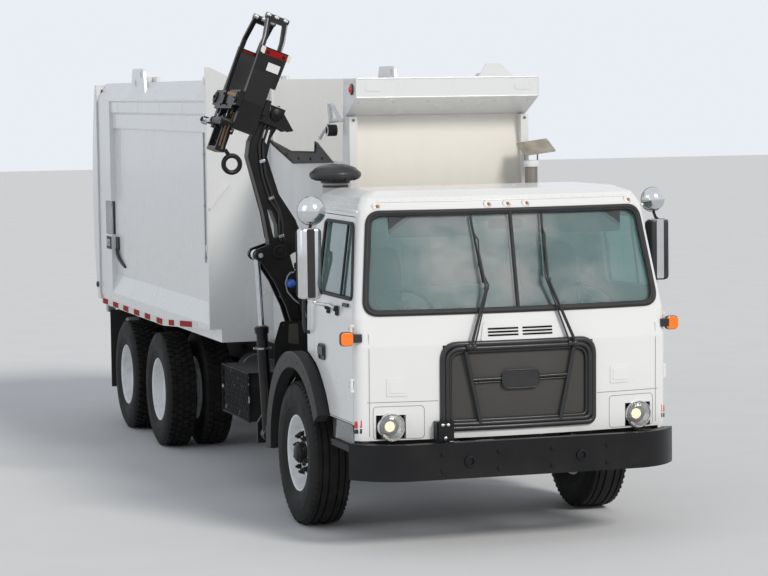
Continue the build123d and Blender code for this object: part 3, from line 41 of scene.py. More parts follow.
# The camera: a long lens ahead of the truck's right front corner, some 3 m above the ground.
# Its place and turn were solved from wheels, rails and cab edges of the truck itself.
lens_mm, sensor_mm = 122.03, 36
camera_place = Vector((-6.4377, -21.5515, 3.2334))
yaw, pitch, roll = radians(17.565), radians(4.326), radians(-0.774)
ahead = Vector((sin(yaw) * cos(pitch), cos(yaw) * cos(pitch), -sin(pitch)))
level_right = Vector((cos(yaw), -sin(yaw), 0))
level_up = level_right.cross(ahead)
right = level_right * cos(roll) + level_up * sin(roll)
up = level_up * cos(roll) - level_right * sin(roll)
camera_data = bpy.data.cameras.new("photo_camera")
camera_data.lens, camera_data.sensor_width = lens_mm, sensor_mm
camera_data.clip_end = 300
camera = bpy.data.objects.new("photo_camera", camera_data)
camera.matrix_world = Matrix.Translation(camera_place) @ Matrix((right, up, -ahead)).transposed().to_4x4()
scene.collection.objects.link(camera)
scene.camera = camera
scene.view_settings.view_transform = "Standard"


# Studio light: a broad soft key on the truck's front from its left, and pale light all round.
# The key is a wide sun lamp, so that it is the same over the truck's whole length.
def lamp(name, direction, strength, spread_deg, colour):
    """A wide sun lamp that shines along a direction."""
    data = bpy.data.lights.new(name, "SUN")
    data.energy, data.angle, data.color = strength, radians(spread_deg), colour
    holder = bpy.data.objects.new(name, data)
    holder.rotation_euler = Vector(direction).to_track_quat("-Z", "Y").to_euler()
    scene.collection.objects.link(holder)


lamp("key", (-0.3, 0.8, -0.62), 1.76, 16, (1, 0.965, 0.9))
lamp("side_fill", (0.85, 0.25, -0.35), 0.28, 40, (0.86, 0.92, 1))
world = bpy.data.worlds.new("pale_sky")
world.use_nodes = True
scene.world = world
sky = world.node_tree
background = sky.nodes["Background"]
background.inputs["Color"].default_value = (0.86, 0.9, 0.96, 1)
ray = sky.nodes.new("ShaderNodeLightPath")
seen = ray.outputs["Is Camera Ray"]
for kind in ("Is Glossy Ray", "Is Transmission Ray"):
    either = sky.nodes.new("ShaderNodeMath")
    either.operation = "MAXIMUM"
    sky.links.new(seen, either.inputs[0])
    sky.links.new(ray.outputs[kind], either.inputs[1])
    seen = either.outputs[0]
strength = sky.nodes.new("ShaderNodeMapRange")
strength.inputs["To Min"].default_value = 0.5
strength.inputs["To Max"].default_value = 0.95
sky.links.new(seen, strength.inputs["Value"])
sky.links.new(strength.outputs["Result"], background.inputs["Strength"])


class Field:
    """A socket of a material, so that shader maths reads as Python."""

    def __init__(self, finish, socket):
        self.finish, self.socket = finish, socket

    def _math(self, operation, other=0, swapped=False):
        pair = (other, self) if swapped else (self, other)
        return self.finish.node("Math", {"operation": operation}, {0: pair[0], 1: pair[1]})

    def __add__(self, other):
        return self._math("ADD", other)

    def __sub__(self, other):
        return self._math("SUBTRACT", other)

    def __rsub__(self, other):
        return self._math("SUBTRACT", other, True)

    def __mul__(self, other):
        return self._math("MULTIPLY", other)

    def __truediv__(self, other):
        return self._math("DIVIDE", other)

    def abs(self):
        return self._math("ABSOLUTE")

    def least(self, other):
        return self._math("MINIMUM", other)

    def wrap(self, period):
        """The distance from the nearest whole number of periods, from 0 to half a period."""
        return (self / period - (self / period)._math("ROUND")).abs() * period

    def step(self, low, high):
        """0 below low, 1 above high, smooth between; high may be the smaller one."""
        return self.finish.node("MapRange", {"interpolation_type": "SMOOTHSTEP"}, {0: self, 1: low, 2: high})


class Finish:
    """One procedural finish: a Principled surface and the nodes that vary it."""

    def __init__(self, name, slot=None, roughness=0.5, metallic=0, **constants):
        self.slot = slot
        self.material = bpy.data.materials.new(name)
        self.material.use_nodes = True
        self.tree = self.material.node_tree
        self.surface = self.tree.nodes["Principled BSDF"]
        self.surface.inputs["Roughness"].default_value = roughness
        self.surface.inputs["Metallic"].default_value = metallic
        for label, value in constants.items():
            self.surface.inputs[label.replace("_", " ")].default_value = value
        where = self.tree.nodes.new("ShaderNodeTexCoord").outputs["Object"]
        self.where = Field(self, where)
        apart = self.tree.nodes.new("ShaderNodeSeparateXYZ")
        self.tree.links.new(where, apart.inputs[0])
        self.x, self.y, self.z = (Field(self, apart.outputs[axis]) for axis in range(3))

    def node(self, kind, settings=None, sockets=None, output=0):
        made = self.tree.nodes.new("ShaderNode" + kind)
        for label, value in (settings or {}).items():
            setattr(made, label, value)
        for key, value in (sockets or {}).items():
            if isinstance(value, Field):
                self.tree.links.new(value.socket, made.inputs[key])
            else:
                made.inputs[key].default_value = value
        return Field(self, made.outputs[output])

    def stretched(self, x, y, z):
        """The place, scaled apart along each axis."""
        return self.node("VectorMath", {"operation": "MULTIPLY"}, {0: self.where, 1: (x, y, z)})

    def noise(self, scale, detail=3, where=None):
        sockets = {"Vector": where or self.where, "Scale": scale, "Detail": detail, "Roughness": 0.55}
        return self.node("TexNoise", None, sockets)

    def cells(self, scale):
        return self.node("TexVoronoi", None, {"Vector": self.where, "Scale": scale})

    def mix(self, factor, first, second):
        rgba = [(*c, 1) if isinstance(c, tuple) and len(c) == 3 else c for c in (first, second)]
        return self.node("Mix", {"data_type": "RGBA"}, {0: factor, 6: rgba[0], 7: rgba[1]}, 2)

    def feed(self, label, value):
        self.tree.links.new(value.socket, self.surface.inputs[label])

    def bump(self, height, depth, strength=0.5):
        sockets = {"Height": height, "Distance": depth, "Strength": strength}
        self.feed("Normal", self.node("Bump", None, sockets))


def mottled(name, slot, scale, first, second, detail=3, **constants):
    """A finish whose colour drifts between two shades in patches."""
    made = Finish(name, slot, **constants)
    made.feed("Base Color", made.mix(made.noise(scale, detail), first, second))
    return made


# The studio floor: a wide pale slab, only there to catch the truck's shadow.
floor_mesh = bpy.data.meshes.new("studio_floor")
floor_mesh.from_pydata([(-90, -90, 0), (90, -90, 0), (90, 90, 0), (-90, 90, 0)], [], [(0, 1, 2, 3)])
floor = bpy.data.objects.new("studio_floor", floor_mesh)
floor.location.z = -0.001
scene.collection.objects.link(floor)
floor_finish = mottled("pale_floor", None, 1.7, (0.74, 0.75, 0.76), (0.8, 0.8, 0.8), roughness=0.9,
    Specular_IOR_Level=0.1)
floor_mesh.materials.append(floor_finish.material)


# The chassis frame: two pressed steel channels with bolted cross members, painted satin black.
# Rows of three bolts hold each cross member, and they are painted with the rails.
def road_paint(name, colour, dust, roughness=0.48, dust_top=1.1):
    """Black chassis paint, greyer and duller low down."""
    made = Finish(name, "chassis_black", Specular_IOR_Level=0.26)
    patches = made.noise(5, 5)
    low = made.z.step(dust_top, 0.1)
    settled = (patches.step(0.42, 0.75) * 0.75 + 0.12) * (low * 0.75 + 0.25)
    made.feed("Base Color", made.mix(settled, colour, dust))
    made.feed("Roughness", settled * 0.35 + roughness)
    made.bump(made.noise(160, 2), 0.0006, 0.35)
    return made


def around(count, start=0):
    """Cosine and sine of even steps round a full turn."""
    angles = [2 * pi * (step + start) / count for step in range(count)]
    return [(cos(angle), sin(angle)) for angle in angles]


def oblong(left, right_edge, low, high):
    """The four corners of a rectangle, in turn."""
    return (left, low), (right_edge, low), (right_edge, high), (left, high)


def band(start, end, inner, outer):
    """The section of a plain ring or, with no inner radius, of a round block."""
    return (start, inner), (start, outer), (end, outer), (end, inner)


forward, rearward, upward = (0, -1, 0), (0, 1, 0), (0, 0, 1)


class Shape:
    """A mesh put together from closed plates, bars and turned rings."""

    def __init__(self):
        self.mesh = bmesh.new()

    def solid(self, points, faces):
        corners = [self.mesh.verts.new(point) for point in points]
        for face in faces:
            self.mesh.faces.new([corners[index] for index in face])

    def slab(self, x0, x1, y0, y1, z0, z1):
        """A straight block between two corners."""
        points = [(x, y, z) for x in (x0, x1) for y in (y0, y1) for z in (z0, z1)]
        sides = ((0, 1, 3, 2), (4, 6, 7, 5), (0, 4, 5, 1), (2, 3, 7, 6), (0, 2, 6, 4), (1, 5, 7, 3))
        self.solid(points, sides)

    def plate(self, outline, thick, across=(1, 0, 0), along=(0, 0, 1), origin=(0, 0, 0)):
        """A flat plate of an outline; it is thick to both sides of its plane."""
        across, along, origin = Vector(across), Vector(along), Vector(origin)
        normal = across.cross(along).normalized() * (thick / 2)
        middle = [origin + across * u + along * v for u, v in outline]
        count = len(middle)
        points = [p - normal for p in middle] + [p + normal for p in middle]
        walls = [(i, (i + 1) % count, count + (i + 1) % count, count + i) for i in range(count)]
        self.solid(points, [tuple(range(count)), tuple(range(count, 2 * count))] + walls)

    def side_plate(self, outline, thick, x):
        """A plate of (y, z) points that faces sideways."""
        self.plate(outline, thick, rearward, upward, (x, 0, 0))

    def front_plate(self, outline, thick, y):
        """A plate of (x, z) points that faces forward."""
        self.plate(outline, thick, origin=(0, y, 0))

    def turned(self, profile, origin, axis, steps=48):
        """A ring or a knob turned about an axis from (along, radius) points, closed on itself."""
        axis = Vector(axis).normalized()
        side = axis.orthogonal().normalized()
        third = axis.cross(side)
        origin = Vector(origin)
        rings = []
        for u, v in around(steps):
            out = side * u + third * v
            rings.append([origin + axis * along + out * radius for along, radius in profile])
        count = len(profile)
        made = []
        for index, (along, radius) in enumerate(profile):
            if radius < 1e-6:
                pole = self.mesh.verts.new(origin + axis * along)
                made.append([pole] * steps)
            else:
                made.append([self.mesh.verts.new(ring[index]) for ring in rings])
        for index in range(count):
            after = (index + 1) % count
            if profile[index][1] < 1e-6 and profile[after][1] < 1e-6:
                continue
            for step in range(steps):
                beyond = (step + 1) % steps
                corners = [made[index][step], made[after][step], made[after][beyond], made[index][beyond]]
                self.mesh.faces.new(list(dict.fromkeys(corners)))

    def bar(self, start, end, radius, sides=16, end_radius=None):
        """A round bar, or a hexagon with six sides, between two points."""
        run = Vector(end) - Vector(start)
        tip = radius if end_radius is None else end_radius
        self.turned(((0, 0), (0, radius), (run.length, tip), (run.length, 0)), start, run, sides)

    def rod(self, points, radius, sides=10, closed=False):
        """A bent bar through points, with one ring of corners at each."""
        path = [Vector(point) for point in points]
        count = len(path)
        rings = []
        side = None
        for index, point in enumerate(path):
            before = path[index - 1] if index or closed else point
            after = path[(index + 1) % count] if index < count - 1 or closed else point
            run = ((after - point).normalized() + (point - before).normalized()).normalized()
            side = run.orthogonal() if side is None else side - run * side.dot(run)
            side.normalize()
            third = run.cross(side)
            bend = 1
            if before != point and after != point:
                bend = 1 / max(0.5, run.dot((after - point).normalized()))
            ring = [point + (side * u + third * v) * radius * bend for u, v in around(sides)]
            rings.append([self.mesh.verts.new(corner) for corner in ring])
        for index in range(count if closed else count - 1):
            first, second = rings[index], rings[(index + 1) % count]
            for number in range(sides):
                other = (number + 1) % sides
                self.mesh.faces.new((first[number], second[number], second[other], first[other]))
        if not closed:
            self.mesh.faces.new(list(reversed(rings[0])))
            self.mesh.faces.new(rings[-1])

    def bolt(self, place, axis, across=0.03, height=0.014, washer=True):
        """A hexagon head with its washer, standing on a face."""
        place, axis = Vector(place), Vector(axis).normalized()
        foot = 0.003 if washer else 0
        if washer:
            self.bar(place - axis * 0.002, place + axis * foot, across * 0.72, 20)
        crown = ((foot, 0), (foot, across * 0.55), (height * 0.8, across * 0.55), (height, across * 0.46),
                 (height, 0))
        self.turned(crown, place, axis, 6)

    def make(self, name, body, finish, bevel=0, smooth=40, slot=None, replaces=None):
        """Turn the shape into a named piece in its finish that rides on a body; the slot argument is not
        used.
        """
        bmesh.ops.recalc_face_normals(self.mesh, faces=self.mesh.faces)
        data = bpy.data.meshes.new(name)
        self.mesh.to_mesh(data)
        self.mesh.free()
        data.materials.append(finish.material)
        data.polygons.foreach_set("use_smooth", [True] * len(data.polygons))
        data.set_sharp_from_angle(angle=radians(smooth))
        piece = bpy.data.objects.new(name, data)
        scene.collection.objects.link(piece)
        if bevel:
            edge = piece.modifiers.new("edges", "BEVEL")
            edge.width, edge.segments, edge.limit_method = bevel, 2, "ANGLE"
            edge.angle_limit, edge.harden_normals = radians(35), True
        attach(piece, body)
        if replaces:
            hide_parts(replaces)
        return piece


def dress(finish, *nodes):
    """Give CAD nodes that keep their shape their finish."""
    for node in nodes:
        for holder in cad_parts[node].material_slots:
            holder.material = finish.material


chassis_paint = road_paint("chassis_paint", (0.012, 0.012, 0.014), (0.075, 0.07, 0.062))
dress(chassis_paint, "chassis_frame", "suspension", "engine", "front_axle", "rear_axles")
rail_side_x, front_axle_y = 0.43, -2.885
both_sides = ((-1, "right"), (1, "left"))
hardware = Shape()
for side in (-1, 1):
    for behind in (-1.1, -0.7, 0.52, 1.75, 2.5, 3.1, 3.9, 4.6, 5.41, 6.2, 6.9):
        for height in (0.8, 0.89, 0.98):
            for shift in (0, 0.06):
                spot = (side * rail_side_x, front_axle_y + behind + shift, height)
                hardware.bolt(spot, (side, 0, 0), 0.026)
hardware.make("rail_bolts", "truck", chassis_paint, smooth=32)

# Tyres: front ribbed tyres and rear block tyres, of black rubber moulded on a steel belt.
# Shoulder, sidewall rings and bead follow the real section; the walls are plain.
rubber_black, road_dust = (0.009, 0.009, 0.009), (0.036, 0.034, 0.031)
rubber = Finish("tyre_rubber", "tyre_rubber", Specular_IOR_Level=0.22)
scuff = rubber.noise(9, 6).step(0.4, 0.72)
rubber.feed("Base Color", rubber.mix(scuff * 0.55, rubber_black, road_dust))
rubber.feed("Roughness", scuff * 0.22 + 0.62)
rubber.bump(rubber.noise(220, 2) + rubber.noise(30, 3) * 2, 0.0012, 0.5)
front_section = (
    (0.116, 0.284), (0.13, 0.29), (0.138, 0.312), (0.146, 0.345), (0.1495, 0.352), (0.15, 0.357),
    (0.1535, 0.385), (0.1556, 0.412), (0.155, 0.43), (0.1555, 0.436), (0.153, 0.442), (0.149, 0.47),
    (0.142, 0.495), (0.134, 0.511), (0.127, 0.52), (0.126, 0.5255),
)
rear_section = (
    (0.106, 0.284), (0.12, 0.289), (0.127, 0.316), (0.133, 0.35), (0.136, 0.356), (0.1365, 0.361),
    (0.139, 0.39), (0.139, 0.412), (0.1385, 0.43), (0.139, 0.436), (0.137, 0.442), (0.133, 0.468),
    (0.127, 0.486), (0.12, 0.497), (0.115, 0.503),
)


def tyre_ring(shape, section, crown, centre, steps):
    """One tyre: a half section mirrored about its middle and turned about the axle."""
    half = list(section) + list(crown)
    whole = half + [(-across, radius) for across, radius in reversed(half)]
    shape.turned(whole, centre, (1, 0, 0), steps)


front_crown = []
for groove_x, half_groove in ((0.086, 0.006), (0.036, 0.007)):
    land = 0.538 - 0.0035 * (groove_x / 0.12) ** 2
    front_crown += [(groove_x + half_groove, land), (groove_x + half_groove - 0.002, land - 0.014)]
    front_crown += [(groove_x - half_groove + 0.002, land - 0.014), (groove_x - half_groove, land)]
front_crown = [(0.119, 0.5335)] + front_crown
wheel_z_front, wheel_z_rear = 0.538, 0.522
for side, side_name in both_sides:
    centre = (side * 1.098, front_axle_y, wheel_z_front)
    ribbed = Shape()
    tyre_ring(ribbed, front_section, front_crown, centre, 120)
    for u, v in around(60):
        out = Vector((0, u, v))
        for edge in (-1, 1):
            foot = Vector(centre) + Vector((edge * 0.1335, 0, 0)) + out * 0.5135
            ribbed.bar(foot, foot + Vector((-edge * 0.01, 0, 0)) + out * 0.016, 0.0075, 4)
    ribbed.make("ribbed_tyre_" + side_name, "wheel_front_" + side_name, rubber, smooth=32,
                replaces="tyre_front_" + side_name)

tread_rows = ((-0.0865, 0), (-0.03, 0.5), (0.03, 0), (0.0865, 0.5))
twin_x = (0.765, 1.108)
axle_rows = (("middle", 1.833), ("rear", 3.225))
blocks_round, block_half_x, block_half_run = 50, 0.0235, 0.0245
for side, side_name in both_sides:
    for axle_name, axle_y in axle_rows:
        body = "wheels_" + axle_name + "_" + side_name
        lugged = Shape()
        for wheel_x in twin_x:
            centre = Vector((side * wheel_x, axle_y, wheel_z_rear))
            tyre_ring(lugged, rear_section, ((0.112, 0.5065), (0.05, 0.508)), centre, 96)
            for row_x, shift in tread_rows:
                base = centre + Vector((row_x, 0, 0))
                skew = 0.006 if row_x < 0 else -0.006
                for across, up_way in around(blocks_round, shift):
                    out, run = Vector((0, across, up_way)), Vector((0, -up_way, across))
                    corners = []
                    for depth, taper in ((0.503, 1), (0.5215, 0.88)):
                        for u, v in oblong(-1, 1, -1, 1):
                            along = run * (v * block_half_run * taper + u * skew)
                            offset = Vector((u * block_half_x * taper, 0, 0)) + along
                            corners.append(base + offset + out * depth)
                    faces = ((0, 1, 2, 3), (4, 5, 6, 7), (0, 1, 5, 4), (1, 2, 6, 5), (2, 3, 7, 6),
                             (3, 0, 4, 7))
                    lugged.solid(corners, faces)
        lugged.make("block_tyres_" + axle_name + "_" + side_name, body, rubber, smooth=32,
                    replaces="tyres_" + axle_name + "_" + side_name)

# Disc wheels: pressed steel discs welded into rolled rims, all painted white and then driven.
# Dust greys them in patches; the front ones carry black nuts and a black hub cap.
wheel_white = Finish("wheel_white", "wheel_white", Coat_Weight=0.25, Specular_IOR_Level=0.45)
grime = wheel_white.noise(14, 6).step(0.45, 0.8)
wheel_white.feed("Base Color", wheel_white.mix(grime * 0.32, (0.84, 0.85, 0.86), (0.34, 0.32, 0.29)))
wheel_white.feed("Roughness", grime * 0.35 + 0.34)
wheel_white.bump(wheel_white.noise(90, 3), 0.0008, 0.3)
hub_black = road_paint("hub_black", (0.01, 0.01, 0.011), (0.05, 0.045, 0.04), 0.4, 0.6)


def disc_wheel(shape, x, y, z, face_side, half_width, dish, deep):
    """A rolled rim and its dished disc; the disc's flat middle lies dish outward of the rim's middle."""
    # Pairs of the distance in from the rim's edge and the radius: over the bead seats, then under them.
    seat = ((0, 0.286), (0.006, 0.2885), (0.013, 0.285), (0.018, 0.276), (0.055, 0.272))
    right_edge = seat + ((0.075, 0.26),)
    left_edge = ((0.075, 0.262),) + seat[::-1] + ((0.003, 0.275), (0.02, 0.265), (0.06, 0.264), (0.08, 0.25))
    right_under = ((0.08, 0.25), (0.06, 0.262), (0.02, 0.265), (0.003, 0.275))
    rim_profile = [(half_width - inset, radius) for inset, radius in right_edge]
    rim_profile += [(inset - half_width, radius) for inset, radius in left_edge]
    rim_profile += [(half_width - inset, radius) for inset, radius in right_under]
    shape.turned(rim_profile, (x, y, z), (1, 0, 0), 72)
    face = ((dish, 0.08), (dish, 0.155), (dish - 0.004, 0.17), (dish - deep * 0.3, 0.186),
            (dish - deep * 0.62, 0.212), (dish - deep * 0.86, 0.236), (dish - deep, 0.252),
            (dish - deep - 0.01, 0.256))
    steps, hand_holes, thick = 80, 10, 0.011
    outer, inner = [], []
    for rings, sunk in ((outer, 0), (inner, thick)):
        for u, v in around(steps):
            points = [Vector((x + face_side * (a - sunk), y, z)) + Vector((0, u, v)) * r for a, r in face]
            rings.append([shape.mesh.verts.new(point) for point in points])
    hole_steps, hole_rows = steps // hand_holes, (3, 4)
    for step in range(steps):
        beyond = (step + 1) % steps
        open_here = step % hole_steps in (1, 2, 3)
        for row in range(len(face) - 1):
            if open_here and row in hole_rows:
                continue
            for ring, turn in ((outer, 1), (inner, -1)):
                corners = (ring[step][row], ring[step][row + 1], ring[beyond][row + 1], ring[beyond][row])
                shape.mesh.faces.new(corners[::turn])
        for row in (0, len(face) - 1):
            corners = (outer[step][row], outer[beyond][row], inner[beyond][row], inner[step][row])
            shape.mesh.faces.new(corners)
        if open_here:
            for row in (hole_rows[0], hole_rows[-1] + 1):
                corners = (outer[step][row], outer[beyond][row], inner[beyond][row], inner[step][row])
                shape.mesh.faces.new(corners)
            for at, other in ((step, step - 1), (beyond, beyond)):
                if (other % hole_steps) in (1, 2, 3):
                    continue
                for row in hole_rows:
                    corners = (outer[at][row], outer[at][row + 1], inner[at][row + 1], inner[at][row])
                    shape.mesh.faces.new(corners)


def nut_ring(shape, x, y, z, face_side):
    """The ten wheel nuts on their studs."""
    across, tall, circle = 0.036, 0.03, 0.1425
    for u, v in around(10, 0.5):
        place = Vector((x, y + circle * u, z + circle * v))
        shape.bolt(place, (face_side, 0, 0), across, tall)
        shape.bar(place, place + Vector((face_side * (tall + 0.012), 0, 0)), 0.01, 10)


def cap_bolts(shape, x, y, z, face_side, circle, across, tall):
    """Eight small bolts in a ring on a hub's cap."""
    for u, v in around(8):
        shape.bolt((x, y + circle * u, z + circle * v), (face_side, 0, 0), across, tall, False)


for side, side_name in both_sides:
    body = "wheel_front_" + side_name
    disc = Shape()
    disc_wheel(disc, side * 1.098, front_axle_y, wheel_z_front, side, 0.127, 0.08, 0.06)
    disc.make("front_disc_" + side_name, body, wheel_white, replaces="rim_front_" + side_name)
    hub = Shape()
    hub_x = side * 1.178
    hub.turned(((-0.14, 0), (-0.14, 0.108), (-0.02, 0.108), (0, 0.104), (0.006, 0.079), (0.045, 0.074),
                (0.055, 0.062), (0.06, 0.06), (0.066, 0.05), (0.068, 0)),
                (hub_x, front_axle_y, wheel_z_front), (side, 0, 0), 40)
    nut_ring(hub, hub_x, front_axle_y, wheel_z_front, side)
    cap_bolts(hub, hub_x, front_axle_y, wheel_z_front, side, 0.091, 0.016, 0.012)
    hub.make("front_hub_" + side_name, body, hub_black, replaces="rim_front_" + side_name)
    for axle_name, axle_y in axle_rows:
        body = "wheels_" + axle_name + "_" + side_name
        twin = Shape()
        disc_wheel(twin, side * twin_x[1], axle_y, wheel_z_rear, -side, 0.117, 0.105, 0.12)
        disc_wheel(twin, side * twin_x[0], axle_y, wheel_z_rear, side, 0.117, 0.105, 0.12)
        twin.turned(((-0.34, 0), (-0.34, 0.105), (-0.02, 0.105), (0, 0.1), (0.02, 0.082), (0.085, 0.078),
                     (0.095, 0.07), (0.097, 0)), (side * 0.99, axle_y, wheel_z_rear), (side, 0, 0), 40)
        nut_ring(twin, side * 1.014, axle_y, wheel_z_rear, side)
        cap_bolts(twin, side * 1.086, axle_y, wheel_z_rear, side, 0.06, 0.014, 0.01)
        twin.make("twin_discs_" + axle_name + "_" + side_name, body, wheel_white,
                  replaces="rims_" + axle_name + "_" + side_name)

# The cab shell: welded steel and aluminium sheet, painted gloss white over its bolted panels.
# The paint is a little dusty low down, and the bare sheet's slight waves show in its gloss.
def white_paint(name, colour, dirt, dirt_top, streaks=0):
    """Gloss white with a film of dirt low down, and with rain streaks where asked."""
    made = Finish(name, "body_white", Coat_Weight=0.35, Coat_Roughness=0.12, Specular_IOR_Level=0.45)
    film = made.z.step(dirt_top, 0.3) * 0.45
    blotches = made.noise(3.2, 6).step(0.42, 0.78)
    soil = blotches * (film + 0.03)
    if streaks:
        runs = made.noise(1, 3, made.stretched(5, 5, 0.5)).step(0.45, 0.85)
        soil = soil + runs * streaks
    made.feed("Base Color", made.mix(soil.least(0.75), colour, dirt))
    made.feed("Roughness", soil * 0.5 + 0.26)
    made.bump(made.noise(2.6, 2) * 6 + made.noise(260, 1) * 0.12, 0.0022, 0.32)
    return made


cab_white = white_paint("cab_white", (0.86, 0.86, 0.85), (0.42, 0.39, 0.33), 1.25)
dress(cab_white, "cab_shell", "door_right", "door_left")
cab_levels = (
    # height, half width, front face from the front axle
    (0.79, 1.175, -1.478), (1.45, 1.175, -1.49), (1.645, 1.172, -1.468),
    (2.4, 1.075, -1.298), (2.482, 1.035, -1.235), (2.525, 0.935, -1.11),
)
cab_bow, cab_corner = 0.105, 0.07


def cab_at(z):
    """Half width and front face of the cab at a height."""
    z = min(max(z, cab_levels[0][0]), cab_levels[-1][0])
    for low, high in zip(cab_levels, cab_levels[1:]):
        if z <= high[0]:
            share = (z - low[0]) / (high[0] - low[0])
            return low[1] + (high[1] - low[1]) * share, low[2] + (high[2] - low[2]) * share


def on_front(x, z, out=0):
    """A point on the bowed front face, lifted off it by out."""
    half, face = cab_at(z)
    chord = half - cab_corner
    return Vector((x, front_axle_y + face + cab_bow * (x / chord) ** 2 - out, z))


def on_side(side, y, z, out=0):
    """A point on the cab's side, lifted off it by out."""
    return Vector((side * (cab_at(z)[0] + out), y, z))


def rounded(outline, radius, steps=6):
    """A closed outline of (u, v) points with its corners rounded; radius may be one per corner."""
    radii = radius if isinstance(radius, (tuple, list)) else [radius] * len(outline)
    points = []
    for index, corner in enumerate(outline):
        corner = Vector(corner)
        before = Vector(outline[index - 1]) - corner
        after = Vector(outline[(index + 1) % len(outline)]) - corner
        reach = min(radii[index], before.length * 0.49, after.length * 0.49)
        start, end = corner + before.normalized() * reach, corner + after.normalized() * reach
        for step in range(steps + 1):
            t = step / steps
            points.append(tuple(start * (1 - t) ** 2 + corner * 2 * t * (1 - t) + end * t ** 2))
    return points


def dense(points, longest, closed=True):
    """The same line with points added, none further apart than longest."""
    filled = []
    count = len(points)
    for index in range(count if closed else count - 1):
        start, end = Vector(points[index]), Vector(points[(index + 1) % count])
        parts = max(1, int((end - start).length / longest + 0.999))
        filled += [tuple(start + (end - start) * (part / parts)) for part in range(parts)]
    if not closed:
        filled.append(tuple(points[-1]))
    return filled


def front_ring(outline, out, longest):
    """A closed line on the bowed front, for a rod to follow."""
    return [on_front(u, v, out) for u, v in dense(outline, longest)]


rubber_trim = mottled("rubber_trim", "trim_black", 8, (0.012, 0.012, 0.013), (0.035, 0.034, 0.033), detail=5,
    roughness=0.55, Specular_IOR_Level=0.4)
rubber_trim.bump(rubber_trim.noise(300, 2), 0.0005, 0.4)
gasket = Shape()
screen_outline = ((-1.104, 1.68), (1.104, 1.68), (1.02, 2.378), (-1.02, 2.378))
screen_outline = rounded(screen_outline, (0.1, 0.1, 0.085, 0.085), 8)
for offset, out, thick in ((0, 0.004, 0.019), (0.014, 0.006, 0.011)):
    ring = dense(screen_outline, 0.08)
    ring = [on_front(u * (1 - offset), v + (offset if v < 2 else -offset), out) for u, v in ring]
    gasket.rod(ring, thick, 10, True)
centre_bar = [on_front(0, 1.675 + 0.07 * step, 0.006) for step in range(11)]
gasket.rod(centre_bar, 0.015, 8)
gasket.make("windscreen_gasket", "truck", rubber_trim, 0, 60)
window_front_y, window_back_y = -4.127, -3.282
for side, side_name in both_sides:
    trim = Shape()
    low_z, high_z, slant_y = 1.777, 2.3, window_front_y + 0.148
    outline = ((window_front_y, low_z), (window_back_y, low_z), (window_back_y, high_z), (slant_y, high_z))
    outline = rounded(outline, 0.05)
    trim.rod([on_side(side, u, v, 0.003) for u, v in dense(outline, 0.1)], 0.013, 8, True)
    divider_y = window_front_y + 0.3
    trim.rod([on_side(side, divider_y, 1.779 + 0.0865 * step, -0.004) for step in range(7)], 0.01, 8)
    trim.make("door_window_rubber_" + side_name, "door_" + side_name, rubber_trim, 0, 60)

# Glass: two curved windscreen panes, drop glass in the doors and a flat pane in the back wall.
# It is laminated and slightly green, under whitish patches of dust and painted cloud reflection that fade
# towards the sides.
pane = Finish("green_glass", roughness=0.02, Transmission_Weight=0.8, IOR=1.6, Specular_IOR_Level=0.7)
# Whitish patches: dust and a painted reflection of clouds, faded towards the sides and the door glass.
film = pane.noise(1.6, 3, pane.stretched(1, 1, 1.5)).step(0.36, 0.66)
side_tint = pane.x.abs().step(0.5, 0.95)
pane.feed("Base Color", pane.mix(film * (1 - side_tint * 0.85), (0.4, 0.61, 0.6), (0.95, 0.98, 0.96)))
pane.feed("Roughness", film * 0.03 + 0.01)
dress(pane, "glazing", "door_glass_right", "door_glass_left")

# Louvres, embossed plates, the panel joint and the drip rails, pressed into or screwed on the shell.
# The vent slots are near-black plates on the face, a painted shade of their openings; everything else is
# painted with the cab.
dark = mottled("opening_painted_shade", "trim_black", 20, (0.006, 0.006, 0.007), (0.014, 0.013, 0.013), roughness=0.85,
               Specular_IOR_Level=0.1)


def on_front_plate(shape, outline, out, thick, step=0.06):
    """A thin plate that lies on the bowed front, with its edge turned down onto it."""
    points = dense(outline, step)
    count = len(points)
    front = [on_front(u, v, out + thick) for u, v in points]
    back = [on_front(u, v, out) for u, v in points]
    middle_u = sum(p[0] for p in points) / count
    middle_v = sum(p[1] for p in points) / count
    corners = front + back + [on_front(middle_u, middle_v, out + thick), on_front(middle_u, middle_v, out)]
    faces = []
    for index in range(count):
        after = (index + 1) % count
        faces += [(index, after, 2 * count), (count + after, count + index, 2 * count + 1)]
        faces.append((index, count + index, count + after, after))
    shape.solid(corners, faces)


pressed = Shape()
on_front_plate(pressed, rounded(((-0.292, 1.468), (0.305, 1.468), (0.28, 1.604), (-0.266, 1.604)), 0.02, 3),
               0.0005, 0.01)
for low, high in (((-0.966, 1.1), (-0.818, 1.227)), ((0.706, 1.122), (0.864, 1.248))):
    on_front_plate(pressed, rounded(oblong(low[0], high[0], low[1], high[1]), 0.012, 3), 0.0005, 0.005)
    step_in = 0.022
    inner = oblong(low[0] + step_in, high[0] - step_in, low[1] + step_in, high[1] - step_in)
    on_front_plate(pressed, rounded(inner, 0.008, 3), 0.005, 0.004)
for side in (-1, 1):
    rail = [on_side(side, front_axle_y - 1.16 + 0.2 * step, 2.386, 0.01) for step in range(6)]
    pressed.rod(rail, 0.011, 8)
    front_rail = [on_front(side * x, 2.452, 0.003) for x in (0, 0.2, 0.4, 0.6, 0.8, 0.94)]
    pressed.rod(front_rail, 0.006, 8)
pressed.make("pressed_panels", "truck", cab_white, 0.003)
# Louvre slots: near-black plates, painted shade where the openings would be.
slots = Shape()
for left, right_edge in ((-0.236, -0.01), (0.022, 0.248)):
    for row in range(3):
        z_row = 1.502 + 0.023 * row
        box = oblong(left, right_edge, z_row, z_row + 0.012)
        on_front_plate(slots, box, 0.0085, 0.004)
seams = Shape()
seam_grey = mottled("seam_grey", "trim_black", 20, (0.16, 0.16, 0.155), (0.27, 0.265, 0.25), roughness=0.6)
seam_half = 0.002
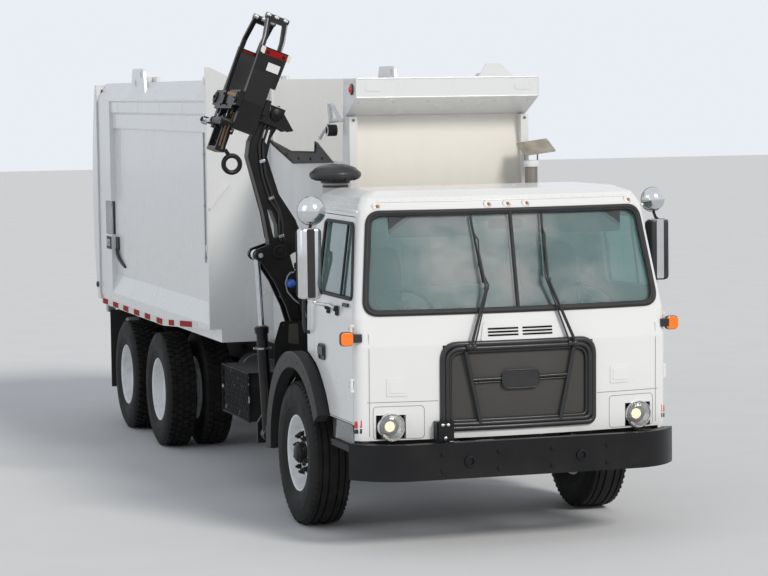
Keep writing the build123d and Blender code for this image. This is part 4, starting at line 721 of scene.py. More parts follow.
for start, end in ((-1.1, -0.6), (0.6, 1.1)):
    seams.rod([on_front(start + (end - start) * step / 8, 1.06, 0.0005) for step in range(9)], seam_half, 6)
for side in (-1, 1):
    bezel_line = rounded(oblong(side * 0.7, side * 1.06, 0.8, 1.03), 0.03, 4)
    seams.rod(front_ring(bezel_line, 0.0003, 0.08), seam_half, 6, True)
    upright = [on_front(side * 1.085, 0.82 + 0.12 * step, 0.0005) for step in range(7)]
    seams.rod(upright, seam_half, 6)
slots.make("vent_slots", "truck", dark, 0, 50)
seams.make("front_seams", "truck", seam_grey, 0, 50)
rivets = Shape()
for side in (-1, 1):
    for step in range(12):
        spot = on_front(side * (0.1 + step * 0.083), 2.462, 0.001)
        rivets.bar(spot, spot + Vector((0, -0.004, 0.001)), 0.006, 10, 0.004)
    for step in range(9):
        spot = on_side(side, front_axle_y - 1.1 + step * 0.12, 2.43, 0)
        rivets.bar(spot, spot + Vector((side * 0.005, 0, 0.002)), 0.006, 10, 0.004)
rivets.make("cab_rivets", "truck", cab_white)

# The grille: a moulded black surround with rolled corners, fine wire mesh and three black bars.
# The two slanted bars stand under the wiper spindles, and the cross bar ties them together.
moulded = Finish("moulded_black", "trim_black", Specular_IOR_Level=0.45, Coat_Weight=0.15)
worn = moulded.noise(12, 5)
moulded.feed("Base Color", moulded.mix(worn, (0.012, 0.012, 0.013), (0.03, 0.03, 0.031)))
moulded.feed("Roughness", worn * 0.2 + 0.3)
moulded.bump(moulded.noise(400, 2), 0.0004, 0.4)
wire = Finish("grille_wire", "trim_black", roughness=0.55, Specular_IOR_Level=0.4)
mesh_pitch, strand_half, strand_edge = 0.0088, 0.0012, 0.0022
rising = (wire.x + wire.z * 0.5).wrap(mesh_pitch).step(strand_half, strand_edge)
weave = rising * (wire.x - wire.z * 0.5).wrap(mesh_pitch).step(strand_half, strand_edge)
wire.feed("Base Color", wire.mix(weave, (0.105, 0.1, 0.092), (0.008, 0.008, 0.008)))
wire.bump(weave * -1, 0.002, 0.8)
surround = Shape()
grille_half, grille_low, grille_high, grille_middle = 0.568, 0.858, 1.452, 1.155
grille_outline = oblong(-grille_half, grille_half, grille_low, grille_high)
grille_outline = rounded(grille_outline, (0.05, 0.05, 0.11, 0.11), 6)
for shrink, out, thick in ((0, 0.006, 0.022), (0.03, 0.012, 0.018), (0.052, 0, 0.014)):
    narrow, short = 1 - shrink / grille_half, 1 - shrink / 0.297
    ring = dense(grille_outline, 0.07)
    ring = [(u * narrow, grille_middle + (v - grille_middle) * short) for u, v in ring]
    surround.rod([on_front(u, v, out) for u, v in ring], thick, 10, True)
for side in (-1, 1):
    slant = ((0.408, 1.4, 0.022), (0.335, 1.05, 0.022), (0.3, 0.885, 0.02))
    surround.rod([on_front(side * u, v, out) for u, v, out in slant], 0.015, 10)
for z, out, thick in ((1.203, 0.014, 0.012), (1.181, 0.01, 0.007)):
    cross = [on_front(0.365 * share, z + 0.005 * share, out + 0.002 * (share == 0)) for share in (-1, 0, 1)]
    surround.rod(cross, thick, 10)
oval_line = rounded(oblong(-0.14, 0.14, 1.13, 1.258), 0.055, 6)
on_front_plate(surround, oval_line, 0.014, 0.014)
surround.rod(front_ring(oval_line, 0.027, 0.06), 0.005, 8, True)
surround.make("grille_surround", "truck", moulded, 0, 60, replaces="grille")
screen = Shape()
columns, rows = 24, 12
front_points, back_points = [], []
for row in range(rows + 1):
    for column in range(columns + 1):
        u, v = -0.548 + 1.096 * column / columns, 0.878 + 0.552 * row / rows
        belly = 0.018 * (1 - (u / 0.548) ** 2) * (1 - ((v - 1.154) / 0.276) ** 2)
        front_points.append(on_front(u, v, -0.012 + belly))
        back_points.append(on_front(u, v, -0.018 + belly))
count = len(front_points)
faces = []
for row in range(rows):
    for column in range(columns):
        a = row * (columns + 1) + column
        b, c, d = a + 1, a + columns + 2, a + columns + 1
        faces += [(a, b, c, d), (count + d, count + c, count + b, count + a)]
        if row == 0:
            faces.append((a, count + a, count + b, b))
        if row == rows - 1:
            faces.append((d, c, count + c, count + d))
        if column == 0:
            faces.append((a, d, count + d, count + a))
        if column == columns - 1:
            faces.append((b, count + b, count + c, c))
screen.solid(front_points + back_points, faces)
screen.make("grille_mesh", "truck", wire, 0, 60, replaces="grille")

# Lamps: round sealed headlamps in bright rims, amber roof markers on white bosses and side flashers.
# Each lens is a moulding of its own over a reflector; the flashers stand on black arms.
bright = mottled("bright_trim", "lamp_lens", 18, (0.78, 0.79, 0.8), (0.6, 0.6, 0.6), detail=5, roughness=0.12,
                 metallic=1)
bright.feed("Roughness", bright.noise(25, 4) * 0.16 + 0.06)
lens = Finish("clear_lens", "lamp_lens", roughness=0.06, Transmission_Weight=0.85, IOR=1.45, Coat_Weight=0.6)
flutes = lens.x.wrap(0.016) * 30
lens.feed("Base Color", lens.mix(lens.noise(30), (0.93, 0.94, 0.93), (0.82, 0.83, 0.82)))
lens.bump(flutes, 0.004, 0.6)
glow = Finish("lamp_glow", "lamp_lens", roughness=0.3, Emission_Strength=1.25)
glow_ring = glow.noise(40)
glow.feed("Base Color", glow.mix(glow_ring, (0.95, 0.8, 0.5), (0.98, 0.9, 0.7)))
glow.feed("Emission Color", glow.mix(glow_ring, (1, 0.72, 0.36), (1, 0.88, 0.62)))
amber = Finish("amber_lens", "lamp_lens", roughness=0.16, Coat_Weight=0.6, Emission_Strength=0.22,
               Subsurface_Weight=0.15)
prisms = (amber.x.wrap(0.012) + amber.z.wrap(0.012)) * 60
amber.feed("Base Color", amber.mix(prisms, (0.84, 0.15, 0), (0.93, 0.24, 0.01)))
amber.feed("Emission Color", amber.mix(prisms, (0.95, 0.16, 0), (1, 0.25, 0.01)))
amber.bump(prisms, 0.0015, 0.5)
headlamp_x, headlamp_z, headlamp_y = 0.935, 0.884, -4.3
bezel, reflector, filament, lens_dome, marker = Shape(), Shape(), Shape(), Shape(), Shape()
for side in (-1, 1):
    lamp_place = (side * headlamp_x, headlamp_y, headlamp_z)
    bezel.turned(((-0.012, 0.087), (0.008, 0.09), (0.011, 0.094), (0.008, 0.099), (-0.012, 0.101)),
                 lamp_place, forward, 40)
    reflector.turned(((-0.075, 0), (-0.072, 0.034), (-0.052, 0.065), (-0.02, 0.086), (-0.002, 0.088),
                      (-0.006, 0.09), (-0.08, 0.034), (-0.082, 0)), lamp_place, forward, 32)
    filament.turned(((-0.066, 0), (-0.064, 0.03), (-0.05, 0.046), (-0.038, 0.038), (-0.028, 0.016),
                     (-0.026, 0)), lamp_place, forward, 16)
    lens_dome.turned(
        ((0.002, 0.088), (0.012, 0.078), (0.02, 0.05), (0.024, 0.02), (0.025, 0), (0.021, 0), (0.02, 0.02),
         (0.016, 0.049), (0.008, 0.077), (-0.002, 0.088)),
        lamp_place, forward, 36,
    )
# A near-black box behind each headlamp: painted shade in the corners of its square recess.
pocket = Shape()
for side in (-1, 1):
    pocket.slab(side * 0.836, side * 1.034, -4.262, -4.215, 0.786, 0.986)
pocket.make("headlamp_pockets", "truck", dark, 0.004, smooth=32, replaces="lamps")
bezel.make("headlamp_bezels", "truck", bright, 0, 50, replaces="lamps")
reflector.make("headlamp_reflectors", "truck", bright, 0, 60, replaces="lamps")
filament.make("headlamp_bulbs", "truck", glow, 0, 60, replaces="lamps")
lens_dome.make("headlamp_lenses", "truck", lens, 0, 60, replaces="lamps")
dull_amber = mottled("dull_amber", "lamp_lens", 60, (0.42, 0.12, 0.02), (0.55, 0.2, 0.05), roughness=0.3)
lamp_feet, roof_marker, boss = Shape(), Shape(), Shape()
for lamp_x in (-0.956, -0.157, -0.013, 0.132, 0.955):
    spot = on_front(lamp_x, 2.424, 0)
    boss.turned(((-0.006, 0), (-0.006, 0.027), (0.003, 0.027), (0.006, 0.022), (0.006, 0)), spot,
                (0, -0.9, 0.44), 28)
    spot = on_front(lamp_x + 0.009, 2.424, 0.006)
    roof_marker.turned(((-0.004, 0), (-0.004, 0.014), (0.006, 0.012), (0.011, 0.006), (0.012, 0)), spot,
                       (0, -0.9, 0.44), 20)
for side, lamp_x, z in ((-1, -1.238, 1.512), (1, 1.224, 1.532)):
    disc = rounded(oblong(lamp_x - 0.046, lamp_x + 0.046, z - 0.046, z + 0.046), 0.03, 5)
    for face in (-1, 1):
        marker.front_plate(disc, 0.014, -4.241 + face * 0.019)
    rim = rounded(oblong(lamp_x - 0.05, lamp_x + 0.05, z - 0.05, z + 0.05), 0.032, 5)
    lamp_feet.front_plate(rim, 0.026, -4.241)
    lamp_feet.slab(side * 1.132, side * 1.196, -4.27, -4.212, z - 0.026, z + 0.032)
marker.make("amber_lenses", "truck", amber, 0.004, replaces="lamps")
roof_marker.make("roof_markers", "truck", dull_amber, 0.001, replaces="lamps")
boss.make("marker_bosses", "truck", cab_white, replaces="lamps")
lamp_feet.make("lamp_housings", "truck", moulded, 0.003, replaces="lamps")

# The bumper: a deep pressed steel channel with swept ends, black, with a bolted box beside a lamp.
# Dirt greys its lower edge, and two tow pins pass through it.
bumper_black = road_paint("bumper_black", (0.007, 0.007, 0.008), (0.022, 0.021, 0.02), 0.34, 0.72)
dress(bumper_black, "bumper")
fittings = Shape()
fittings.slab(-0.637, -0.506, -4.4, -4.335, 0.777, 0.918)
fittings.slab(-0.625, -0.518, -4.412, -4.398, 0.79, 0.905)
for x in (-0.62, -0.2, 0.2, 0.62):
    for z in (0.58, 0.7):
        fittings.bolt((x, -4.4845, z), forward, 0.03, 0.012)
for side in (-1, 1):
    fittings.turned(((0, 0.024), (0.004, 0.04), (0.014, 0.04), (0.016, 0.026), (0.002, 0.022)),
                    (side * 0.42, -4.484, 0.64), forward, 24)
fittings.make("bumper_fittings", "truck", bumper_black, 0.003)
studs = Shape()
for x, z in ((-0.592, 0.894), (-0.552, 0.894), (-0.572, 0.802)):
    studs.turned(((0, 0), (0, 0.014), (0.006, 0.012), (0.009, 0.006), (0.01, 0)), (x, -4.411, z), forward, 16)
studs.make("box_studs", "truck", bright, 0, 50)

# Wipers: two long parallel-arm wipers on spindles above the grille, parked upright on the glass.
# Each arm is a pair of painted rods joined at an elbow, and its blade is a sprung rubber strip.
wipers = Shape()
# Columns: (x, z) of a wiper's spindle, of its arm's elbow and of its blade's tip.
wiper_lines = (
    ((-0.38, 1.435), (-0.243, 1.841), (-0.301, 2.331)),
    ((0.412, 1.429), (0.229, 1.887), (0.235, 2.338)),
)
for pivot, elbow, tip in wiper_lines:
    base = on_front(*pivot, 0.034)
    crook = on_front(*elbow, 0.062)
    end = on_front(*tip, 0.03)
    middle = on_front((elbow[0] + tip[0]) / 2, (elbow[1] + tip[1]) / 2, 0.052)
    wipers.rod([base, on_front(pivot[0] * 0.9 + elbow[0] * 0.1, pivot[1] * 0.9 + elbow[1] * 0.1, 0.052),
                crook], 0.011, 8)
    wipers.rod([crook, middle], 0.009, 8)
    shift = Vector((0.035 if pivot[0] < 0 else -0.035, 0, 0))
    wipers.rod([base + shift, crook + shift * 0.55 + Vector((0, 0.006, 0.02)),
                middle + shift * 0.2 - Vector((0, 0, 0.1))], 0.006, 8)
    wipers.turned(((-0.034, 0), (-0.034, 0.03), (0, 0.028), (0.014, 0.02), (0.02, 0)), base, (0, -1, 0.1), 24)
    wipers.turned(((-0.03, 0), (-0.03, 0.016), (0.006, 0.015), (0.01, 0)), base + shift, (0, -1, 0.1), 20)
    low_end = on_front(elbow[0] * 0.93 + tip[0] * 0.07, elbow[1] * 0.93 + tip[1] * 0.07, 0.016)
    high_end = on_front(tip[0], tip[1] + 0.015, 0.016)
    strip = [low_end + (high_end - low_end) * (step / 8) for step in range(9)]
    wipers.rod(strip, 0.0085, 6)
    wipers.rod([strip[2], middle + Vector((0, 0.01, -0.09)), middle, middle + Vector((0, 0.01, 0.09)),
                strip[6]], 0.006, 6)
    wipers.turned(((-0.012, 0), (-0.012, 0.017), (0.012, 0.017), (0.015, 0)), crook, (0, -1, 0.1), 20)
wipers.make("wipers", "truck", moulded, 0, 50)

# Door fittings: paddle handles in black cups, hinges at the front edge and a grab rail on the cab.
# They are screwed to the door skins, so they swing with them.
for side, side_name in both_sides:
    door_parts = Shape()
    cup = rounded(oblong(-3.5, -3.352, 1.296, 1.402), 0.022, 4)
    door_parts.side_plate(cup, 0.012, side * 1.178)
    door_parts.rod([(side * 1.184, u, v) for u, v in cup], 0.006, 8, True)
    paddle = rounded(((-3.49, 1.322), (-3.362, 1.332), (-3.362, 1.388), (-3.49, 1.388)), 0.012, 3)
    door_parts.side_plate(paddle, 0.012, side * 1.192)
    door_parts.turned(((0, 0), (0, 0.013), (0.008, 0.012), (0.01, 0)), (side * 1.184, -3.376, 1.31),
                      (side, 0, 0), 16)
    for hinge_z in (1.18, 1.56):
        for bolt_z in (-0.014, 0.014):
            door_parts.bolt((side * 1.183, -4.136, hinge_z + bolt_z), (side, 0, 0), 0.013, 0.006, False)
    latch = rounded(oblong(-4.06, -3.93, 1.716, 1.742), 0.01, 3)
    door_parts.side_plate(latch, 0.016, side * 1.168)
    door_parts.make("door_fittings_" + side_name, "door_" + side_name, moulded, 0.002)
grab = Shape()
for side in (-1, 1):
    rail_form = ((1.172, 1.46), (1.205, 1.47), (1.217, 1.52), (1.217, 2.02), (1.205, 2.07), (1.112, 2.09))
    grab.rod([(side * x, -3.085, z) for x, z in rail_form], 0.013, 12)
grab.make("grab_rails", "truck", moulded, 0, 60)

# The cab's inside: two driving places with stitched seats, a dashboard with dials and a cover
# over the engine. The cushions are foam under grey cloth; the rest is grained dark plastic.
cab_trim = mottled("cab_trim", "cab_trim", 6, (0.05, 0.052, 0.055), (0.085, 0.086, 0.088), detail=5,
                   roughness=0.7, Specular_IOR_Level=0.3)
cab_trim.bump(cab_trim.cells(260), 0.0006, 0.5)
cloth = Finish("seat_cloth", "cab_trim", roughness=0.92, Sheen_Weight=0.35, Specular_IOR_Level=0.2)
threads = (cloth.x.wrap(0.004) + cloth.z.wrap(0.004) + cloth.y.wrap(0.004)) * 180
cloth.feed("Base Color", cloth.mix(threads, (0.06, 0.064, 0.072), (0.115, 0.12, 0.13)))
cloth.bump(threads, 0.0012, 0.6)


def cushion(shape, centre, half, tilt=0, steps=20):
    """A crowned closed pad: a rounded box whose faces swell and whose edges stay tucked in."""
    centre, half = Vector(centre), Vector(half)
    turn = Matrix.Rotation(tilt, 3, "X")
    rings = []
    for row in range(1, steps):
        climb = pi * row / steps - pi / 2
        ring = []
        for column in range(2 * steps):
            angle = pi * column / steps
            parts = (cos(climb) * cos(angle), cos(climb) * sin(angle), sin(climb))
            power = (0.34, 0.34, 0.62)
            point = [half[k] * (abs(parts[k]) ** power[k]) * (1 if parts[k] > 0 else -1) for k in range(3)]
            groove = 0.006 if abs(abs(point[0]) - half[0] * 0.62) < half[0] * 0.05 else 0
            point[2] -= groove * (1 if point[2] > 0 else -1)
            ring.append(shape.mesh.verts.new(centre + turn @ Vector(point)))
        rings.append(ring)
    count = 2 * steps
    for low, high in zip(rings, rings[1:]):
        for column in range(count):
            after = (column + 1) % count
            shape.mesh.faces.new((low[column], low[after], high[after], high[column]))
    shape.mesh.faces.new(list(reversed(rings[0])))
    shape.mesh.faces.new(rings[-1])


seat_y, seat_z = front_axle_y - 0.48, 1.376
cab_frames, rims, dials = Shape(), Shape(), Shape()
for side, side_name in both_sides:
    seat_x = side * 0.7
    for part, centre, half, tilt in (
        ("base", (seat_x, seat_y, seat_z + 0.092), (0.235, 0.24, 0.052), 0.06),
        ("back", (seat_x, seat_y + 0.235, seat_z + 0.4), (0.228, 0.3, 0.05), radians(82)),
        ("headrest", (seat_x, seat_y + 0.262, seat_z + 0.69 - 0.075), (0.13, 0.07, 0.04), radians(82)),
    ):
        pad = Shape()
        cushion(pad, centre, half, tilt)
        soft = pad.make("seat_" + part + "_" + side_name, "truck", cloth, 0, 60)
        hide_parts("cab_interior")
    cab_frames.slab(seat_x - 0.21, seat_x + 0.21, seat_y - 0.22, seat_y + 0.24, seat_z, seat_z + 0.035)
    cab_frames.slab(seat_x - 0.3, seat_x + 0.3, front_axle_y - 1.33, front_axle_y - 1.18, 1.121, 1.56)
    hood = [(-1.33, 1.55), (-1.33, 1.6), (-1.24, 1.622), (-1.165, 1.6), (-1.15, 1.54)]
    cab_frames.side_plate([(front_axle_y + u, v) for u, v in hood], 0.6, seat_x)
    rims.rod([(seat_x, front_axle_y - 1.12, 1.55), (seat_x, front_axle_y - 1.018, 1.69)], 0.026, 12)
    spindle = Vector((0, -0.5, 0.87)).normalized()
    wheel_centre = Vector((seat_x, front_axle_y - 1.01, 1.7))
    flat = Vector((0, 0.87, 0.5)).normalized()
    circle = [wheel_centre + Vector((1, 0, 0)) * 0.2 * u + flat * 0.2 * v for u, v in around(36)]
    rims.rod(circle, 0.0135, 10, True)
    for angle in (pi * 0.5, pi * 1.17, pi * 1.83):
        tip = wheel_centre + Vector((1, 0, 0)) * 0.195 * cos(angle) + flat * 0.195 * sin(angle)
        rims.rod([wheel_centre - spindle * 0.01, tip], 0.011, 8)
    rims.turned(((-0.02, 0), (-0.02, 0.034), (0.012, 0.045), (0.022, 0.036), (0.024, 0)), wheel_centre,
                spindle, 24)
    for dial_x, size in ((-0.12, 0.045), (0, 0.055), (0.12, 0.045)):
        place = Vector((seat_x + dial_x, front_axle_y - 1.152, 1.555))
        dials.turned(((0, 0), (0, size), (0.008, size), (0.008, size - 0.006), (0.004, size - 0.008),
                      (0.004, 0)), place, (0, 1, 0.25), 24)
cab_frames.slab(-0.45, 0.45, front_axle_y - 1.33, front_axle_y - 1.225, 1.121, 1.545)
lid = rounded(((-0.41, 1.121), (0.41, 1.121), (0.36, 1.285), (-0.36, 1.285)), 0.05, 4)
cab_frames.plate(lid, 0.85, across=(1, 0, 0), along=(0, 0, 1), origin=(0, front_axle_y - 0.575, 0))
cab_frames.slab(-0.1, 0.1, front_axle_y - 0.86, front_axle_y - 0.66, 1.284, 1.31)
cab_frames.make("cab_mouldings", "truck", cab_trim, 0.012, replaces="cab_interior")
rims.make("steering_rims", "truck", moulded, 0, 60, slot="cab_trim", replaces="steering_wheels")
dials.make("dash_dials", "truck", bright, slot="cab_trim", replaces="cab_interior")
lining = Shape()
for side in (-1, 1):
    visor = rounded(oblong(side * 0.25, side * 0.88, 2.2, 2.36), 0.03, 3)
    lining.front_plate(visor, 0.018, front_axle_y - 1.225)
lining.slab(-0.2, 0.2, front_axle_y - 1.27, front_axle_y - 1.1, 2.395, 2.425)
lining.rod([(0, front_axle_y - 1.205, 2.4), (0, front_axle_y - 1.225, 2.32)], 0.01, 8)
mirror_form = rounded(oblong(-0.13, 0.13, 2.245, 2.315), 0.03, 4)
lining.front_plate(mirror_form, 0.02, front_axle_y - 1.228)
lining.make("sun_visors", "truck", cab_trim, 0.004)

# Mirrors: two like pressed housings, each with a flat glass and a wide-angle bowl above. The left one is
# black with a bright spine and the right one bright with a dark spine, a painted reflection. Tube brackets
# carry them from the door.
mirror_glass = mottled("mirror_glass", "trim_black", 3, (0.86, 0.88, 0.9), (0.8, 0.82, 0.84), roughness=0.03,
    metallic=1)
# Columns: the side's sign, its name, the housing's x, y, lowest z and highest z.
mirror_places = ((-1, "right", 1.355, front_axle_y - 0.87, 1.76, 2.27),
                 (1, "left", 1.435, front_axle_y - 0.65, 1.79, 2.25))
for side, side_name, mirror_x, mirror_y, low_z, high_z in mirror_places:
    shell, glass, bracket, backing, spine = Shape(), Shape(), Shape(), Shape(), Shape()
    levels = ((low_z, 0.6), (low_z + 0.008, 0.9), (low_z + 0.025, 1), (high_z - 0.025, 1),
              (high_z - 0.008, 0.92), (high_z, 0.62))
    outline = rounded(((-0.093, 0.03), (-0.07, -0.032), (0.07, -0.032), (0.093, 0.03)), 0.02, 4)
    rings = []
    for z, scale in levels:
        points = [(side * mirror_x + u * scale, mirror_y + v * scale, z) for u, v in outline]
        rings.append([shell.mesh.verts.new(point) for point in points])
    for low, high in zip(rings, rings[1:]):
        for index in range(len(outline)):
            after = (index + 1) % len(outline)
            shell.mesh.faces.new((low[index], low[after], high[after], high[index]))
    shell.mesh.faces.new(list(reversed(rings[0])))
    shell.mesh.faces.new(rings[-1])
    # Painted reflection: the right housing is chrome with a dark spine plate, the left one black with a
    # bright spine plate.
    housing_finish_painted_reflection = bright if side < 0 else moulded
    shell.make("mirror_housing_" + side_name, "door_" + side_name, housing_finish_painted_reflection, 0, 55, slot="trim_black",
               replaces="mirror_" + side_name)
    spine_form = rounded(oblong(-0.028, 0.028, 0, high_z - low_z - 0.02), 0.01, 4)
    spine_form = [(side * mirror_x + u, low_z + 0.012 + v) for u, v in spine_form]
    (backing if side < 0 else spine).front_plate(spine_form, 0.006, mirror_y - 0.034)
    spine.slab(side * mirror_x - 0.07, side * mirror_x + 0.07, mirror_y - 0.03, mirror_y + 0.026,
               high_z - 0.008, high_z - 0.002)
    inboard, raised, bowl_radius = (0.016, 0.12, 0.104) if side < 0 else (0.046, 0.145, 0.092)
    bowl_centre = Vector((side * (mirror_x - inboard), mirror_y, high_z + raised))
    bowl = ((0.04, 0), (0.04, 0.95), (0, 1), (0.15, 0.98), (0.49, 0.86), (0.74, 0.62), (0.9, 0.3), (0.95, 0))
    bowl = [(depth * bowl_radius, reach * bowl_radius) for depth, reach in bowl]
    spine.turned(bowl, bowl_centre, forward, 36)
    spine.make("mirror_bowl_" + side_name, "door_" + side_name, bright, 0, 55, slot="trim_black",
               replaces="mirror_" + side_name)
    face = rounded(oblong(-0.084, 0.084, low_z + 0.02, high_z - 0.02), 0.018, 4)
    glass.front_plate([(side * mirror_x + u, v) for u, v in face], 0.004, mirror_y + 0.0335)
    dish = ((0, 0), (0, 0.9), (-0.12, 0.78), (-0.2, 0.52), (-0.25, 0.25), (-0.26, 0))
    glass.turned([(depth * bowl_radius, reach * bowl_radius) for depth, reach in dish], bowl_centre, forward,
                 36)
    glass.make("mirror_glass_" + side_name, "door_" + side_name, mirror_glass, 0, 60,
               replaces="mirror_" + side_name)
    backing.rod([(side * mirror_x + u * 1.06, mirror_y + 0.03, v) for u, v in face], 0.0065, 8, True)
    ring = [bowl_centre + Vector((u, 0.04, v)) * bowl_radius * 0.965 for u, v in around(32)]
    backing.rod(ring, 0.0055, 8, True)
    neck = [(0, 0, -0.008), (-inboard * 0.5, 0, 0.014), (-inboard, -0.004, raised - bowl_radius + 0.014)]
    backing.rod([(side * (mirror_x + u), mirror_y + v, high_z + w) for u, v, w in neck], 0.011, 10)
    arms = (
        (0.011, ((1.18, -0.06, 1.69), (1.24, -0.05, low_z - 0.04), (mirror_x - 0.045, -0.01, low_z - 0.032),
                 (mirror_x - 0.02, 0, low_z - 0.018), (mirror_x - 0.02, 0, low_z + 0.01))),
        (0.01, ((1.18, 0.16, 1.69), (1.25, 0.1, low_z - 0.048), (mirror_x - 0.05, 0.012, low_z - 0.036))),
    )
    for thick, run in arms:
        bracket.rod([(side * x, mirror_y + v, z) for x, v, z in run], thick, 10)
    bracket.make("mirror_bracket_" + side_name, "door_" + side_name, bright, slot="trim_black",
                 replaces="mirror_" + side_name)
    for foot_y in (mirror_y - 0.06, mirror_y + 0.16):
        backing.slab(side * 1.1755, side * 1.185, foot_y - 0.028, foot_y + 0.028, 1.642, 1.712)
        backing.turned(((0, 0), (0, 0.02), (0.022, 0.018), (0.026, 0)), (side * 1.18, foot_y, 1.69),
                       (side, 0, 0), 16)
        backing.bolt((side * 1.185, foot_y, 1.656), (side, 0, 0), 0.016, 0.007, False)
    backing.make("mirror_rims_" + side_name, "door_" + side_name, rubber_trim, 0, 60,
                 replaces="mirror_" + side_name)

# Wheel-arch flares and mud flaps: black rubber moulded over the arch edge and hung behind.
# Screws hold the flares at even steps; the flaps hang from clamped bars behind the last wheels.
dress(rubber_trim, "fenders")
flare_screws = Shape()
for side in (-1, 1):
    for step in range(11):
        angle = radians(4 + 13.8 * step)
        place = (side * 1.2605, front_axle_y + 0.705 * cos(angle), wheel_z_front + 0.705 * sin(angle))
        flare_screws.turned(((0, 0), (0, 0.011), (0.004, 0.009), (0.005, 0)), place, (side, 0, 0), 12)
    lip = []
    for step in range(25):
        turn = radians(-4 + 156 * step / 24)
        lip.append((side * 1.252, front_axle_y + 0.756 * cos(turn), wheel_z_front + 0.756 * sin(turn)))
    flare_screws.rod(lip, 0.01, 8)
    for x in (0.7, 0.85, 1, 1.15):
        flare_screws.bolt((side * x, front_axle_y + 6.802, 1.05), rearward, 0.024, 0.01)
    flare_screws.slab(side * 0.64, side * 1.24, front_axle_y + 6.802, front_axle_y + 6.812, 1.03, 1.075)
flare_screws.make("flare_screws", "truck", moulded)

# Steps: one folded tread of pierced plate below each door, hung on a bracket from the frame.
# A pale riser of raised-diamond mesh stands above its edge, with a black gusset behind it.
tread_plate = Finish("tread_plate", "chassis_black", metallic=1, roughness=0.4)
holes = tread_plate.cells(34).step(0.25, 0.35)
tread_plate.feed("Base Color", tread_plate.mix(holes, (0.1, 0.1, 0.1), (0.52, 0.52, 0.51)))
tread_plate.feed("Roughness", tread_plate.noise(30, 4) * 0.3 + 0.28)
tread_plate.bump(holes, 0.004, 0.7)
dress(chassis_paint, "cab_steps")
risers = Shape()
for side in (-1, 1):
    risers.slab(side * 0.99, side * 1.142, -4.14, -3.692, 0.742, 0.746)
    for row in range(9):
        for column in range(3):
            place = (side * (1.015 + 0.048 * column), -4.11 + 0.048 * row, 0.742)
            ring = ((0.004, 0), (0.004, 0.01), (0.009, 0.007), (0.009, 0.004), (0.005, 0.003), (0.005, 0))
            risers.turned(ring, place, upward, 10)
risers.make("pierced_treads", "truck", tread_plate, 0.001)
pale_mesh = mottled("pale_mesh", "wheel_white", 40, (0.34, 0.35, 0.36), (0.62, 0.62, 0.61), detail=4,
                    metallic=0.35, roughness=0.45)
gussets = Shape()
meshes = Shape()
for side in (-1, 1):
    low_z, high_z = 0.75, 0.884
    riser = ((-4.14, low_z - 0.002), (-3.668, low_z - 0.002), (-3.716, high_z), (-4.094, high_z))
    meshes.side_plate(riser, 0.003, side * 1.1565)
    for row in range(5):
        for column in range(13):
            y, z = -4.122 + 0.033 * column + 0.01 * row, low_z + 0.014 + 0.026 * row
            if y > -3.7:
                continue
            for fall in (-1, 1):
                start = (side * 1.159, y - 0.015, z - fall * 0.012)
                meshes.bar(start, (side * 1.159, y + 0.015, z + fall * 0.012), 0.003, 4)
    gussets.side_plate(((-3.668, 0.745), (-3.6, 0.745), (-3.588, 0.905), (-3.716, 0.905)), 0.006, side * 1.15)
    gussets.rod([(side * 1.19, -4.146, 0.736), (side * 1.19, -3.69, 0.736)], 0.012, 10)
meshes.make("riser_mesh", "truck", pale_mesh)
gussets.make("step_gussets", "truck", chassis_paint, 0.001)

# The air intake and the exhaust: a black mushroom cap on a grey riser pipe, and a steel stack.
# Band clamps hold the pipes; a tilted rain plate stands over the exhaust's mouth.
grey_pipe = road_paint("grey_pipe", (0.5, 0.51, 0.51), (0.2, 0.19, 0.17), 0.42, 2)
pipe = Shape()
intake = (-0.892, front_axle_y + 0.024, 0)
pipe.turned(band(1.9, 2.56, 0, 0.094), intake, upward, 48)
pipe.turned(((1.3, 0), (1.3, 0.075), (1.86, 0.075), (1.902, 0.094), (1.902, 0)), intake, upward, 40)
pipe.turned(band(1.14, 1.302, 0, 0.062), intake, upward, 32)
pipe.make("intake_riser", "truck", grey_pipe, replaces="air_intake")
cap = Shape()
cap.turned(((2.552, 0), (2.552, 0.108), (2.566, 0.112), (2.584, 0.16), (2.592, 0.186), (2.604, 0.194),
            (2.622, 0.1955), (2.634, 0.19), (2.644, 0.176), (2.668, 0.15), (2.684, 0.11), (2.694, 0.06),
            (2.698, 0)), intake, upward, 64)
for u, v in around(28):
    out = Vector((u, v, 0))
    base = Vector((intake[0], intake[1], 2.575)) + out * 0.142
    cap.bar(base, base + out * 0.04 + Vector((0, 0, 0.016)), 0.006, 6)
for z, radius in ((1.33, 0.079), (1.93, 0.098), (2.52, 0.098)):
    cap.turned(band(z, z + 0.018, radius - 0.004, radius), intake, upward, 48)
cap.slab(-0.895, -0.431, front_axle_y - 0.015, front_axle_y + 0.063, 1.132, 1.208)
cap.slab(-0.49, -0.431, front_axle_y - 0.015, front_axle_y + 0.063, 0.962, 1.15)
cap.make("intake_cap", "truck", moulded, 0.002, 45, slot="chassis_black", replaces="air_intake")
stack_steel = Finish("stack_steel", "exhaust_steel", metallic=0.9, Specular_IOR_Level=0.5)
heat = stack_steel.noise(6, 5)
stack_steel.feed("Base Color", stack_steel.mix(heat, (0.36, 0.33, 0.3), (0.2, 0.16, 0.13)))
stack_steel.feed("Roughness", heat * 0.35 + 0.32)
stack_steel.bump(stack_steel.noise(120, 2), 0.0006, 0.4)
stack = Shape()
stack_x, stack_y = 0.668, front_axle_y + 0.005
stack_foot = (stack_x, stack_y, 0)
stack.turned(((1.1, 0), (1.1, 0.048), (1.15, 0.049), (1.15, 0)), stack_foot, upward, 32)
stack.turned(
    ((1.15, 0), (1.15, 0.06), (1.17, 0.075), (1.98, 0.075), (2, 0.06), (2, 0.048), (2.686, 0.048),
     (2.686, 0.043), (2.3, 0.043), (2.3, 0)),
    stack_foot, upward, 40,
)
